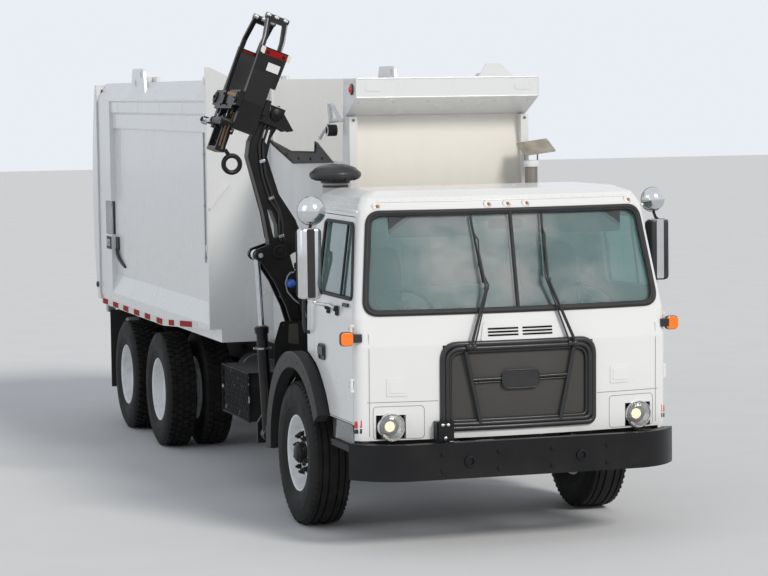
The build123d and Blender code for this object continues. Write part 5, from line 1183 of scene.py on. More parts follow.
for z in (1.25, 1.9, 2.2):
    radius = 0.077 if z < 2 else 0.05
    stack.turned(band(z, z + 0.03, radius - 0.003, radius + 0.004), stack_foot, upward, 40)
stack.slab(0.431, 0.7, front_axle_y - 0.035, front_axle_y + 0.045, 0.962, 1.036)
stack.slab(0.628, 0.708, front_axle_y - 0.035, front_axle_y + 0.045, 1.034, 1.108)
stack.make("exhaust_stack", "truck", stack_steel, 0.001, replaces="exhaust")
collar_ring = Shape()
collar_ring.turned(((2.642, 0.047), (2.642, 0.056), (2.648, 0.058), (2.686, 0.058), (2.69, 0.056),
                    (2.69, 0.047)), stack_foot, upward, 40)
for turn in (0.6, 3.74):
    u, v = cos(turn), sin(turn)
    collar_ring.bolt((stack_x + 0.057 * u, stack_y + 0.057 * v, 2.666), (u, v, 0), 0.014, 0.006, False)
collar_ring.make("stack_collar", "truck", wheel_white, replaces="exhaust")
rain_plate = Shape()
plate_across, plate_along = Vector((0.9929, 0, 0.1191)), Vector((-0.0571, 0.8777, 0.4759))
plate_middle = Vector((0.708, stack_y, 2.79))
plate_edge = rounded(oblong(-0.124, 0.124, -0.094, 0.094), 0.012, 3)
rain_plate.plate(plate_edge, 0.006, plate_across, plate_along, plate_middle)
rain_plate.rod([plate_middle + plate_across * u + plate_along * v for u, v in plate_edge], 0.0045, 8, True)
for side in (-1, 1):
    strut = ((0, 2.682), (0, 2.735), (0.01, 2.782))
    rain_plate.rod([(stack_x + side * 0.052 + u, stack_y, z) for u, z in strut], 0.006, 8)
tan_steel = Finish("tan_steel", "exhaust_steel", roughness=0.6, metallic=0.15)
stains = tan_steel.noise(9, 5).step(0.35, 0.7)
tan_steel.feed("Base Color", tan_steel.mix(stains, (0.4, 0.36, 0.3), (0.24, 0.21, 0.17)))
rain_plate.make("rain_plate", "truck", tan_steel, replaces="exhaust")

# The hopper: welded sheet painted white, with a bowed cream front sheet between its two posts.
# The sheet has yellowed in use, and it is darkest low down and inside, where the load rubs it.
# The body's white is mixed greyer than the cab's: a painted shade for its shaded sides.
body_white = white_paint("body_white", (0.79, 0.8, 0.8), (0.44, 0.42, 0.37), 1.45, 0.05)
hopper_white = Finish("hopper_white", "body_white", Coat_Weight=0.25, Specular_IOR_Level=0.4)
bowed = hopper_white.y.step(-2.5, -2.57) * hopper_white.x.abs().step(0.664, 0.656)
rubbed = hopper_white.noise(1, 5, hopper_white.stretched(6, 6, 1.2)).step(0.42, 0.75)
inside = hopper_white.x.abs().step(0.712, 0.704) * hopper_white.y.step(-2.6, -2.575)
yellowed = bowed * hopper_white.z.step(2.9, 1.7) * 0.22
shade = (rubbed * 0.06 + yellowed + inside * (rubbed * 0.55 + 0.25)).least(0.85)
cream = hopper_white.mix(bowed, (0.79, 0.795, 0.79), (0.83, 0.79, 0.72))
hopper_white.feed("Base Color", hopper_white.mix(shade, cream, (0.4, 0.37, 0.33)))
hopper_white.feed("Roughness", rubbed * 0.25 + 0.34)
hopper_white.bump(hopper_white.noise(2.2, 2) * 5 + hopper_white.noise(180, 1) * 0.15, 0.0022, 0.3)
dress(hopper_white, "hopper_shell")
dress(body_white, "hopper_header", "body_shell", "tailgate")
hopper_front_y = -2.6
brown_bolt = mottled("brown_bolt", "chassis_black", 60, (0.3, 0.17, 0.08), (0.12, 0.08, 0.05), detail=4,
    roughness=0.6, metallic=0.4)
post_bolts = Shape()
for side in (-1, 1):
    for z in (3.016, 2.45, 1.86, 1.3):
        post_bolts.bolt((side * 0.69, hopper_front_y - 0.085, z), forward, 0.02, 0.008, False)
post_bolts.make("post_bolts", "truck", brown_bolt)
seams = Shape()
for side in (-1, 1):
    edge = []
    for step in range(15):
        z = 3.02 - 1.6 * step / 14
        bow = 0.063 * (1 - ((z - 2.2) / 0.84) ** 2) if z > 2.2 else 0.063 - 0.118 * ((2.2 - z) / 0.8) ** 2
        edge.append((side * 0.652, hopper_front_y - bow + 0.001, z))
    seams.rod(edge, 0.005, 6)
for rib_y in (-2.085, -1.485, -0.885):
    for y in (rib_y, rib_y + 0.05):
        seams.rod([(0.723, y, 1.2), (0.723, y, 3.3)], 0.005, 6)
seams.rod([(-0.66, hopper_front_y - 0.003, 3.044), (0.66, hopper_front_y - 0.003, 3.044)], 0.005, 6)
seams.rod([(-0.723, -1.12, 2.702), (-0.723, -0.45, 2.818)], 0.006, 6)
seams.make("hopper_welds", "truck", hopper_white, 0, 60)

# The header: a folded box over the hopper's front with rivets in its slanted under-sheet.
# A round red lamp sits in its side plate, and two faint oblong pads are pressed into its face.
rivet_row = Shape()
for x in (-0.69, -0.417, -0.14, 0.128, 0.4, 0.67):
    spot, out = Vector((x, -2.824, 3.15)), Vector((0, -0.42, -0.91)).normalized()
    rivet_row.turned(((-0.002, 0), (-0.002, 0.011), (0.003, 0.01), (0.006, 0.005), (0.007, 0)), spot, out, 16)
for x in (-0.594, 0.598):
    pad = rounded(oblong(x - 0.066, x + 0.066, 3.233, 3.288), 0.026, 4)
    rivet_row.front_plate(pad, 0.006, -2.8955)
rivet_row.rod([(-0.726, -2.894, 3.328), (0.726, -2.894, 3.328)], 0.006, 8)
rivet_row.rod([(-0.726, -2.893, 3.186), (0.726, -2.893, 3.186)], 0.005, 8)
for side in (-1, 1):
    rivet_row.rod([(side * 0.728, -2.893, 3.186), (side * 0.728, -2.893, 3.328)], 0.005, 8)
    for y, z in ((-2.86, 3.305), (-2.86, 3.205), (-2.64, 3.305), (-2.64, 3.11)):
        rivet_row.turned(((0, 0), (0, 0.009), (0.004, 0.007), (0.005, 0)), (side * 0.73, y, z), (side, 0, 0),
                         12)
rivet_row.make("header_rivets", "truck", body_white)
red = Finish("red_lens", "lamp_lens", roughness=0.18, Coat_Weight=0.6, Emission_Strength=0.06)
facets = (red.y.wrap(0.011) + red.z.wrap(0.011)) * 70
red.feed("Base Color", red.mix(facets, (0.5, 0.018, 0.012), (0.72, 0.05, 0.03)))
red.feed("Emission Color", red.mix(facets, (0.6, 0.02, 0.01), (0.8, 0.05, 0.03)))
red.bump(facets, 0.0015, 0.5)
red_lamps, red_rings = Shape(), Shape()
for side in (-1, 1):
    place = (side * 0.73, -2.79, 3.248)
    red_lamps.turned(((0, 0), (0, 0.034), (0.014, 0.031), (0.024, 0.02), (0.028, 0)), place, (side, 0, 0), 28)
    red_rings.turned(((-0.003, 0.03), (-0.003, 0.043), (0.007, 0.043), (0.009, 0.034)), place, (side, 0, 0),
                     28)

# The spill edge: a black folded gusset under the cut-down wall, and a white triangular eye above.
# A black rubber roller turns below the eye, and a thin white strut ties it back to the wall.
dress(rubber_trim, "spill_lip")
lip_trim = Shape()
lip_edge = ((2.166, 2.837), (1.514, 2.754), (0.81, 2.762), (0.792, 2.84), (0.342, 2.689), (1.458, 2.66),
            (2.084, 2.8))
lip_trim.rod([(-0.7385, hopper_front_y + back, z) for back, z in lip_edge], 0.006, 8, True)
for back, z in ((0.62, 2.715), (0.95, 2.705), (1.3, 2.7), (1.65, 2.725), (1.95, 2.775)):
    lip_trim.bolt((-0.7365, hopper_front_y + back, z), (-1, 0, 0), 0.018, 0.008)
roller_y, roller_z = hopper_front_y + 0.28, 2.938
lip_trim.turned(((-0.003, 0.03), (-0.003, 0.0435), (0.008, 0.0445), (0.06, 0.0445), (0.071, 0.0435),
                 (0.071, 0.03), (0.0745, 0.028), (0.0745, 0)), (-0.7225, roller_y, roller_z), (-1, 0, 0), 32)
lip_trim.make("spill_trim", "truck", rubber_trim, 0, 50)
eye_trim = Shape()
eye_form = ((0.02, 3.01), (0.3, 3), (0.33, 3.14), (0.25, 3.14))
eye_trim.rod([(-0.761, hopper_front_y + back, z) for back, z in eye_form], 0.008, 8, True)
eye_trim.rod([(-0.735, -2.157, 2.97), (-0.74, -2.06, 2.93), (-0.735, -1.929, 2.874)], 0.012, 8)
eye_trim.slab(-0.742, -0.722, -2.175, -2.135, 2.955, 2.99)
eye_trim.slab(-0.742, -0.722, -1.945, -1.905, 2.855, 2.89)
for y, z in ((hopper_front_y + 0.06, 3.012), (hopper_front_y + 0.285, 3.014)):
    eye_trim.bolt((-0.7645, y, z), (-1, 0, 0), 0.018, 0.008)
eye_trim.make("eye_trim", "truck", body_white, 0, 50)

# The packer: a heavy steel blade that sweeps the hopper, scraped bare by the load it pushes.
# Bolted wear plates stand on its face, and a ribbed apron closes its top.
scraped = Finish("scraped_steel", "chassis_black", metallic=0.75)
streak = scraped.noise(1, 5, scraped.stretched(30, 2, 5))
scraped.feed("Base Color", scraped.mix(streak.step(0.35, 0.7), (0.17, 0.16, 0.15), (0.36, 0.34, 0.32)))
scraped.feed("Roughness", streak * 0.35 + 0.34)
scraped.bump(streak + scraped.noise(70, 3) * 0.4, 0.0018, 0.4)
dress(scraped, "packer_blade")
wear = Shape()
for x in (-0.5, 0, 0.5):
    wear.slab(x - 0.2, x + 0.2, -1.9055, -1.896, 1.23, 1.8)
    for u, z in ((-0.17, 1.27), (0.17, 1.27), (-0.17, 1.76), (0.17, 1.76)):
        wear.bolt((x + u, -1.896, z), rearward, 0.03, 0.01)
for x in (-0.6, -0.36, -0.12, 0.12, 0.36, 0.6):
    wear.slab(x - 0.006, x + 0.006, -2.325, -2.03, 1.998, 2.035)
wear.make("wear_plates", "packer", scraped, 0.003)

# The body: smooth welded sheet between a front plate and wide rear posts, all gloss white.
# Weld lines, cable pipes and latches stand on it, and a red and white strip runs along its sill.
trim = Shape()
for side in (-1, 1):
    trim.slab(side * 1.2105, side * 1.2135, 3.7, 3.85, 1.863, 2.187)
    casing = rounded(oblong(3.545, 3.87, 1.716, 1.838), 0.02, 3)
    trim.side_plate(casing, 0.016, side * 1.2135)
    trim.side_plate(oblong(3.68, 3.87, 1.716, 1.838), 0.01, side * 1.2655)
    pipe_run = ((1.222, 3.64, 1.722), (1.224, 3.6, 1.67), (1.22, 3.55, 1.63), (1.216, 3.44, 1.592),
                (1.208, 3.33, 1.56))
    for shift in (0, 0.055):
        trim.rod([(side * x, y - shift, z) for x, y, z in pipe_run], 0.012, 8)
trim.make("body_pipes", "truck", rubber_trim, 0.001)
grey_steel = mottled("grey_steel", "cylinder_chrome", 30, (0.3, 0.31, 0.32), (0.46, 0.46, 0.46), detail=4,
    roughness=0.4, metallic=0.6)
latches = Shape()
latches.rod([(-1.214, -0.04, 3.2), (-1.214, -0.04, 1.8)], 0.007, 8)
for z in (3.16, 2.72, 2.28, 1.84):
    latches.slab(-1.224, -1.204, -0.054, -0.026, z - 0.006, z + 0.006)
for side in (-1, 1):
    latches.bar((side * 1.226, 3.76, 1.9), (side * 1.226, 3.76, 2.17), 0.011, 14)
    latches.bar((side * 1.226, 3.76, 1.85), (side * 1.226, 3.76, 2.02), 0.016, 14)
    latches.bar((side * 1.212, 3.76, 2.15), (side * 1.24, 3.76, 2.15), 0.014, 14)
    latches.slab(side * 1.2665, side * 1.2715, 3.7, 3.85, 1.745, 1.812)
    latches.turned(((0, 0), (0, 0.02), (0.01, 0.018), (0.014, 0)), (side * 1.2705, 3.76, 1.778), (side, 0, 0),
                   16)
    latches.slab(side * 1.16, side * 1.235, 4.03, 4.13, 1.068, 1.146)
    latches.turned(((0, 0), (0, 0.052), (0.11, 0.052), (0.125, 0.04), (0.125, 0)), (side * 1, 3.7, 0.985),
                   (side, 0, 0), 28)
    latches.bar((side * 1, 3.7, 0.985), (side * 0.98, 3.7, 1.15), 0.016, 12)
latches.make("latch_rams", "truck", grey_steel, 0.001)
welds = Shape()
for side in (-1, 1):
    for y in (-0.298, 3.664):
        welds.rod([(side * 1.2065, y, 1.5), (side * 1.2065, y, 2.905)], 0.005, 6)
    for z, x in ((2.908, 1.2285), (3.16, 1.2465), (1.472, 1.2055)):
        welds.rod([(side * x, -0.29, z), (side * x, 3.66, z)], 0.0045, 6)
    for y in (0.6, 1.5, 2.4, 3.3):
        welds.bar((side * 1.243, y, 3.06), (side * 1.243, y, 3.16), 0.005, 6)
    welds.rod([(side * 1.258, -0.4065, 2.274), (side * 1.09, -0.4065, 2.471)], 0.007, 6)
    welds.rod([(side * 1.2755, -0.402, 1.27), (side * 1.2755, -0.402, 3.33)], 0.003, 6)
    for z in (1.55, 1.9, 2.25):
        welds.bolt((side * 0.8, -0.4055, z), forward, 0.022, 0.008)
    welds.slab(side * 1.262, side * 1.266, -0.3, -0.262, 1.905, 1.96)
for x in (-0.95, -0.55, -0.15, 0.25, 0.65, 1.05):
    welds.rod([(x, -0.36, 3.3365), (x, 3.6, 3.3365)], 0.006, 6)
for y in (0.55, 1.55, 2.55, 3.55):
    welds.rod([(-1.13, y, 3.3365), (1.13, y, 3.3365)], 0.006, 6)
for side in (-1, 1):
    for y, z in ((2.282, 3.418), (2.539, 3.341), (-0.21, 3.325)):
        for face in (-1, 1):
            welds.turned(((0, 0.026), (0, 0.04), (0.004, 0.038), (0.004, 0.027)),
                         (side * 1.221 + face * 0.012, y, z), (face, 0, 0), 32)
welds.make("body_welds", "truck", body_white, 0, 50)
strip_white = Finish("strip_white", "lamp_lens", roughness=0.5, Specular_IOR_Level=0.3)
honeycomb = strip_white.cells(420)
strip_white.feed("Base Color", strip_white.mix(honeycomb, (0.72, 0.71, 0.64), (0.82, 0.81, 0.74)))
strip_red = Finish("strip_red", "lamp_lens", roughness=0.6, Specular_IOR_Level=0.12)
red_cells = strip_red.cells(420)
strip_red.feed("Base Color", strip_red.mix(red_cells, (0.27, 0.004, 0.004), (0.38, 0.01, 0.008)))
safety_white, safety_red = Shape(), Shape()
sill_kink_y = 1.443


def sill_z(y):
    """Height of the middle of the sill's strip, which climbs ahead of the kink."""
    return 1.176 if y > sill_kink_y else 1.176 + 0.113 * (sill_kink_y - y) / 1.828


def sill_patch(shape, start, end, half, thick, x):
    """A strip along the sill between two places."""
    low, high = sill_z(start), sill_z(end)
    corners = ((start, low - half), (end, high - half), (end, high + half), (start, low + half))
    shape.side_plate(corners, thick, x)


patch_ends = (
    (4.14, 3.9), (3.65, 3.4), (3.17, 2.93), (2.68, 2.44), (2.2, 1.97), (1.7, 1.46), (1.2, 0.99),
    (0.76, 0.3),
)
for side in (-1, 1):
    for start, end in ((4.17, sill_kink_y), (sill_kink_y, 0.1)):
        sill_patch(safety_white, start, end, 0.022, 0.002, side * 1.2625)
    for start, end in patch_ends:
        sill_patch(safety_red, start, end, 0.025, 0.003, side * 1.2635)
safety_white.make("safety_strip_white", "truck", strip_white, 0, 30)
safety_red.make("safety_strip_red", "truck", strip_red, 0, 30)
corner_red, corner_black = Shape(), Shape()
for side in (-1, 1):
    slant_across = Vector((0.7, side * 0.7, 0)) * side
    flag = rounded(((-0.03, -0.02), (0.03, -0.028), (0.03, 0.02), (-0.03, 0.036)), 0.008, 3)
    corner_red.plate(flag, 0.008, slant_across, upward, (side * 1.157, -4.23, 0.905))
    corner_black.plate([(u, v * 0.62) for u, v in flag], 0.008, slant_across, upward,
                       (side * 1.157, -4.23, 0.857))
corner_red.make("corner_reflectors", "truck", red, 0.001)
corner_black.make("corner_feet", "truck", moulded, 0.001)

# The tailgate: a hollow bulged gate that swings up on two pins above the roof line.
# Its lamps sit in steel boxes low down, with a blank plate holder, ribs and a striped foot strip.
def gate_at(z, out=0):
    """Rear face of the bulged gate at a height, lifted off it by out."""
    top, low = (4.295, 3.33), (4.335, 1.19)
    share = (z - low[1]) / (top[1] - low[1])
    chord = low[0] + (top[0] - low[0]) * share
    return chord + 0.17 * (1 - (2 * share - 1) ** 2) + out


gate_trim = Shape()
for x in (-0.95, -0.48, 0, 0.48, 0.95):
    for edge in (-0.022, 0.022):
        line = [(x + edge, gate_at(1.5 + 0.13 * step, -0.008), 1.5 + 0.13 * step) for step in range(13)]
        gate_trim.rod(line, 0.012, 6)
for side in (-1, 1):
    gate_trim.slab(side * 0.705, side * 0.735, 4.235, 4.3, 3.325, 3.368)
    gate_trim.slab(side * 1.2745, side * 1.2765, 4.23, 4.3, 1.24, 3.28)
    gate_trim.slab(side * 1.02, side * 1.25, 4.338, 4.392, 1.26, 1.4)
    gate_trim.slab(side * 0.9, side * 1.25, 4.338, 4.38, 1.21, 1.24)
gate_trim.make("gate_ribs", "tailgate", body_white, 0.003)
gate_black = Shape()
gate_black.front_plate(oblong(-0.17, 0.17, 1.265, 1.385), 0.01, 4.392)
gate_black.slab(-0.2, 0.2, 4.345, 4.39, 1.25, 1.4)
for side in (-1, 1):
    handle = ((1.62, 0), (1.62, 0.055), (1.86, 0.03), (1.86, -0.03))
    gate_black.rod([(side * 0.3, gate_at(z, out), z) for z, out in handle], 0.01, 8)
    gate_black.turned(((0, 0), (0, 0.03), (0.018, 0.026), (0.022, 0)), (side * 1.2745, 4.3, 1.33),
                      (side, 0, 0), 20)
gate_black.make("gate_fittings", "tailgate", rubber_trim, 0.002)
gate_red, gate_amber, gate_clear = Shape(), Shape(), Shape()
for side in (-1, 1):
    for x, shape in ((1.075, gate_red), (1.185, gate_amber)):
        shape.turned(((0, 0), (0, 0.044), (0.01, 0.041), (0.018, 0.024), (0.02, 0)), (side * x, 4.391, 1.33),
                     rearward, 28)
    gate_clear.turned(((0, 0), (0, 0.04), (0.008, 0.037), (0.014, 0.02), (0.015, 0)),
                      (side * 0.955, 4.379, 1.33), rearward, 24)
    high_place = (side * 1, gate_at(3.1), 3.1)
    gate_red.turned(((0, 0), (0, 0.032), (0.012, 0.029), (0.018, 0)), high_place, (0, 1, 0.35), 24)
    red_lamps.slab(side * 1.2745, side * 1.275, 4.15, 4.19, 1.2, 1.24)
for number in range(12):
    x = -1.17 + 0.195 * number
    paint = gate_red if number % 2 else gate_clear
    paint.slab(x, x + 0.19, 4.3805, 4.3825, 1.214, 1.236)
gate_back = Shape()
gate_back.slab(-1.25, 1.25, 4.338, 4.381, 1.206, 1.244)
gate_back.make("gate_foot_bar", "tailgate", chassis_paint, 0.002)
gate_red.make("gate_red_lamps", "tailgate", red, 0, 45)
gate_amber.make("gate_amber_lamps", "tailgate", amber, 0, 45)
gate_clear.make("gate_clear_lamps", "tailgate", strip_white, 0, 45)
red_lamps.make("side_red_lamps", "truck", red, 0, 45)
red_rings.make("side_lamp_rings", "truck", moulded, 0, 45)

# Tanks and boxes on the frame: satin black steel, held by bolted straps of bare steel.
# A guard of expanded metal covers the box behind the arm; its bright patches are partly bare wear, partly
# painted glints.
tank_paint = road_paint("tank_paint", (0.016, 0.016, 0.018), (0.085, 0.08, 0.072), 0.4, 1.3)
dress(tank_paint, "tanks")
straps = Shape()
for y in (-0.55, -0.1, 0.38):
    for shift in (-0.018, 0.018):
        ring = [(0.815 + 0.303 * u, y + shift, 0.735 + 0.303 * v) for u, v in around(48)]
        straps.rod(ring, 0.007, 6, True)
    straps.turned(band(-0.018, 0.018, 0.2995, 0.3045), (0.815, y, 0.735), rearward, 64)
for y in (0.1, 0.6):
    straps.turned(band(-0.014, 0.014, 0.1295, 0.1335), (-0.62, y, 0.8), rearward, 48)
straps.turned(((0, 0), (0, 0.055), (0.03, 0.055), (0.036, 0.048), (0.036, 0)), (0.93, -0.62, 1.008),
              (0.35, 0, 1), 32)
straps.slab(0.86, 1.14, -2.188, -2.1845, 1.46, 1.84)
for z in (1.5, 1.8):
    for x in (0.89, 1.11):
        straps.bolt((x, -2.188, z), forward, 0.022, 0.008)
straps.make("tank_straps", "truck", grey_steel, 0.001)
worn_glinting_guard = Finish("worn_glinting_guard", "chassis_black", metallic=0.85)
# Bright patches: bare worn metal and painted glints.
wear_and_glint_spots = worn_glinting_guard.noise(9, 4).step(0.62, 0.7)
worn_glinting_guard.feed("Base Color", worn_glinting_guard.mix(wear_and_glint_spots, (0.02, 0.02, 0.021), (0.5, 0.5, 0.48)))
worn_glinting_guard.feed("Roughness", wear_and_glint_spots * -0.25 + 0.6)
guard = Shape()
guard_x = -1.143
pitch_y, pitch_z = 0.085, 0.052
for row in range(9):
    for column in range(10):
        y, z = -1.12 + pitch_y * column + (pitch_y / 2 if row % 2 else 0), 0.585 + pitch_z * row * 0.82
        if y + pitch_y / 2 > -0.29:
            continue
        for rise in (-1, 1):
            peak = (guard_x, y, z + rise * pitch_z * 0.41)
            guard.bar((guard_x, y - pitch_y / 2, z), peak, 0.0048, 4)
            guard.bar(peak, (guard_x, y + pitch_y / 2, z), 0.0048, 4)
guard.rod([(guard_x, y, z) for y, z in oblong(-1.165, -0.292, 0.565, 0.955)], 0.009, 8, True)
guard.make("mesh_guard", "truck", worn_glinting_guard, 0, 30)

# The arm: welded box and plate sections of heavy steel, painted satin black, on greased pins.
# Bolted keepers hold the pins, and dirt greys the paint below the body's edge.
arm_black = road_paint("arm_black", (0.0075, 0.0075, 0.0085), (0.055, 0.05, 0.044), 0.36, 1.3)
chrome = mottled("rod_chrome", None, 22, (0.7, 0.73, 0.77), (0.5, 0.52, 0.55), detail=4, metallic=1)
chrome.feed("Roughness", chrome.noise(40, 3) * 0.14 + 0.1)
dress(arm_black, "arm_base", "arm_lower", "boom", "lift_barrel", "boom_barrel", "grip_barrel", "gripper_head",
      "finger_front", "finger_rear")
dress(chrome, "lift_rod", "boom_rod", "grip_rod")
dress(chassis_paint, "knuckle_right", "knuckle_left")
arm_y = -1.935
arm_pin, elbow = Vector((-0.9, arm_y, 1.25)), Vector((-1.11, arm_y, 2))
wrist = Vector((-1.115, arm_y, 3.06))
lift_foot, lift_eye = Vector((-1.195, arm_y, 0.56)), Vector((-1.265, arm_y, 1.975))
boom_foot, boom_eye = Vector((-0.945, arm_y, 1.43)), Vector((-0.905, arm_y, 2.06))


def in_arm(points, out):
    """A line of (x, z) points beside the arm, out from its middle."""
    return [(x, arm_y + out, z) for x, z in points]


def pin_head(shape, pin, face, out, radius, height=0.01):
    """A pin's keeper: a chamfered cap with a bolt in the middle."""
    place = pin + Vector((0, face * out, 0))
    cap = ((-0.002, 0), (-0.002, radius), (height * 0.6, radius), (height, radius * 0.88), (height, 0))
    shape.turned(cap, place, (0, face, 0), 32)
    shape.bolt(place + Vector((0, face * height, 0)), (0, face, 0), radius * 0.8, 0.008, False)


base_parts, lower_parts, boom_parts, bright_lower, bright_boom = Shape(), Shape(), Shape(), Shape(), Shape()
for face in (-1, 1):
    pin_head(base_parts, arm_pin, face, 0.162, 0.052)
    pin_head(base_parts, lift_foot, face, 0.162, 0.036)
    for x, z in ((-0.47, 0.96), (-0.47, 0.84), (-0.6, 0.96), (-0.6, 0.8), (-0.76, 0.93)):
        base_parts.bolt((x, arm_y + face * 0.15, z), (0, face, 0), 0.032, 0.014)
    for weld in (((-0.795, 1.005), (-1.005, 1.005)), ((-0.765, 0.705), (-1.125, 0.487))):
        base_parts.rod(in_arm(weld, face * 0.151), 0.007, 6)
    pin_head(lower_parts, elbow, face, 0.11, 0.056, 0.012)
    pin_head(bright_lower, lift_eye, face, 0.112, 0.022, 0.012)
    pin_head(lower_parts, boom_foot, face, 0.112, 0.03)
    ring = [(-0.0005, 0.03), (-0.0005, 0.046), (0.006, 0.044), (0.006, 0.031)]
    lower_parts.turned(ring, lift_eye + Vector((0, face * 0.112, 0)), (0, face, 0), 32)
    for edge in (((-0.975, 1.33), (-1.05, 1.56), (-1.138, 1.76), (-1.235, 1.925)),
                 ((-0.85, 1.47), (-0.908, 1.64), (-1.005, 1.87), (-1.045, 2.03))):
        lower_parts.rod(in_arm(edge, face * 0.1), 0.006, 6)
    edge = ((-1.19, 2.1), (-1.225, 2.3), (-1.278, 2.5), (-1.342, 2.74), (-1.325, 2.855), (-1.225, 3.03))
    boom_parts.rod([(x + 0.01, arm_y + face * 0.058, z) for x, z in edge], 0.006, 6)
    edge = ((-0.895, 2.1), (-0.962, 2.235), (-1.094, 2.44), (-1.185, 2.735), (-1.15, 2.88), (-1.048, 3.045))
    boom_parts.rod([(x - 0.01, arm_y + face * 0.058, z) for x, z in edge], 0.006, 6)
    pin_head(boom_parts, boom_eye, face, 0.058, 0.034)
hose_runs = (
    ((-1.06, 2.085), (-1.076, 2.122), (-1.07, 2.2), (-1.098, 2.33), (-1.148, 2.425), (-1.2, 2.59),
     (-1.217, 2.71), (-1.222, 2.83), (-1.18, 2.95), (-1.15, 3)),
    ((-1.084, 2.08), (-1.1, 2.118), (-1.098, 2.18), (-1.102, 2.3), (-1.174, 2.41), (-1.226, 2.58),
     (-1.243, 2.702), (-1.25, 2.83), (-1.208, 2.96), (-1.176, 3.01)),
)
boom_hoses = Shape()
for run in hose_runs:
    fine = dense([(x, 0, z) for x, z in run], 0.05, False)
    boom_hoses.rod(in_arm([(x, z) for x, _, z in fine], -0.069), 0.01, 8)
boom_hoses.make("boom_hoses", "boom", rubber_trim, 0, 60)
for x, z, lean in ((-1.229, 2.705, 0.3), (-1.161, 2.417, 0.38), (-1.086, 2.119, 0.3)):
    clip = rounded(oblong(-0.024, 0.024, -0.012, 0.012), 0.009, 3)
    across = Vector((cos(lean), 0, sin(lean)))
    along = Vector((-sin(lean), 0, cos(lean)))
    bright_boom.plate(clip, 0.008, across, along, (x, arm_y - 0.083, z))
    bright_boom.bolt((x, arm_y - 0.087, z), forward, 0.014, 0.006, False)
small_plate = Shape()
small_form = ((-1.207, 2.948), (-1.156, 2.944), (-1.189, 2.836), (-1.222, 2.893))
small_plate.front_plate(small_form, 0.004, arm_y - 0.0605)
small_plate.make("boom_plate", "boom", body_white, slot="wheel_white")
base_parts.make("arm_base_pins", "truck", arm_black, 0.0015)
lower_parts.make("arm_lower_welds", "arm_lower", arm_black, 0.001)
boom_parts.make("boom_welds", "boom", arm_black, 0.001)
bright_boom.make("boom_clips", "boom", bright, 0.001, slot="cylinder_chrome")
bright_lower.make("lift_pin_heads", "arm_lower", bright, slot="cylinder_chrome")

# The arm's oil lines: a valve block with a blue filler cap on the lower arm, and clipped hoses.
# A pale return hose loops round the cap; an olive cover plate closes the foot's front.
valve, cap_blue, pale_hose = Shape(), Shape(), Shape()
cap_place = Vector((-1.022, arm_y - 0.101, 1.752))
block_form = rounded(((-1.045, 1.69), (-0.955, 1.66), (-0.94, 1.79), (-1.03, 1.83)), 0.02, 3)
valve.front_plate(block_form, 0.036, arm_y - 0.118)
valve.turned(((0, 0), (0, 0.03), (0.02, 0.028), (0.024, 0)), (-0.975, arm_y - 0.136, 1.7), forward, 24)
for run in (((-0.985, 0.125, 1.69), (-0.955, 0.125, 1.6), (-0.925, 0.118, 1.48), (-0.915, 0.112, 1.34)),
            ((-0.96, 0.125, 1.69), (-0.925, 0.125, 1.62), (-0.895, 0.118, 1.5), (-0.885, 0.112, 1.35))):
    valve.rod([(x, arm_y - out, z) for x, out, z in run], 0.012, 8)
cap_blue.turned(((-0.004, 0), (-0.004, 0.034), (0.03, 0.034), (0.044, 0.028), (0.053, 0.016), (0.056, 0)),
                cap_place - Vector((0.012, 0.035, 0)), forward, 32)
blue = mottled("blue_plastic", "trim_black", 40, (0.015, 0.075, 0.42), (0.03, 0.12, 0.55), roughness=0.35,
               Coat_Weight=0.3)
cap_blue.make("filler_cap", "arm_lower", blue)
loop = [(-1.05, 1.812), (-1.068, 1.755), (-1.056, 1.69), (-1.005, 1.625), (-0.95, 1.585), (-0.915, 1.53),
        (-0.895, 1.46)]
pale_hose.rod(in_arm(loop, -0.118), 0.007, 8)
pale_hose.turned(((0, 0), (0, 0.014), (0.01, 0.012), (0.012, 0)), (-0.952, arm_y - 0.137, 1.752), forward, 16)
pale_hose.rod(in_arm(((-1.05, 1.808), (-1.03, 1.832), (-1, 1.836)), -0.118), 0.007, 8)
pale = mottled("pale_rubber", "trim_black", 30, (0.36, 0.36, 0.34), (0.24, 0.24, 0.22), detail=4,
               roughness=0.5)
pale_hose.make("return_hose", "arm_lower", pale, 0, 60)
valve.make("valve_block", "arm_lower", arm_black, 0.002)
olive = mottled("olive_plate", "chassis_black", 14, (0.075, 0.072, 0.05), (0.045, 0.043, 0.032), detail=5,
                roughness=0.6)
cover = Shape()
cover.front_plate(rounded(((-1.072, 1.29), (-0.985, 1.276), (-0.992, 1.44), (-1.062, 1.44)), 0.01, 3), 0.006,
                  arm_y - 0.1765)
cover.make("foot_cover", "truck", olive)
shroud = Shape()
shroud_form = ((-1.185, 1.02), (-1.18, 1.3), (-1.13, 1.46), (-0.905, 1.46), (-0.9, 1.36), (-0.835, 1.3),
               (-0.815, 1.02))
shroud.front_plate(rounded(shroud_form, 0.02, 3), 0.008, arm_y - 0.1685)
for x, z in ((-1.16, 1.05), (-0.85, 1.05), (-1.1, 1.43), (-0.93, 1.43)):
    shroud.bolt((x, arm_y - 0.1725, z), forward, 0.022, 0.008)
shroud.make("foot_shroud", "truck", arm_black, 0.001)

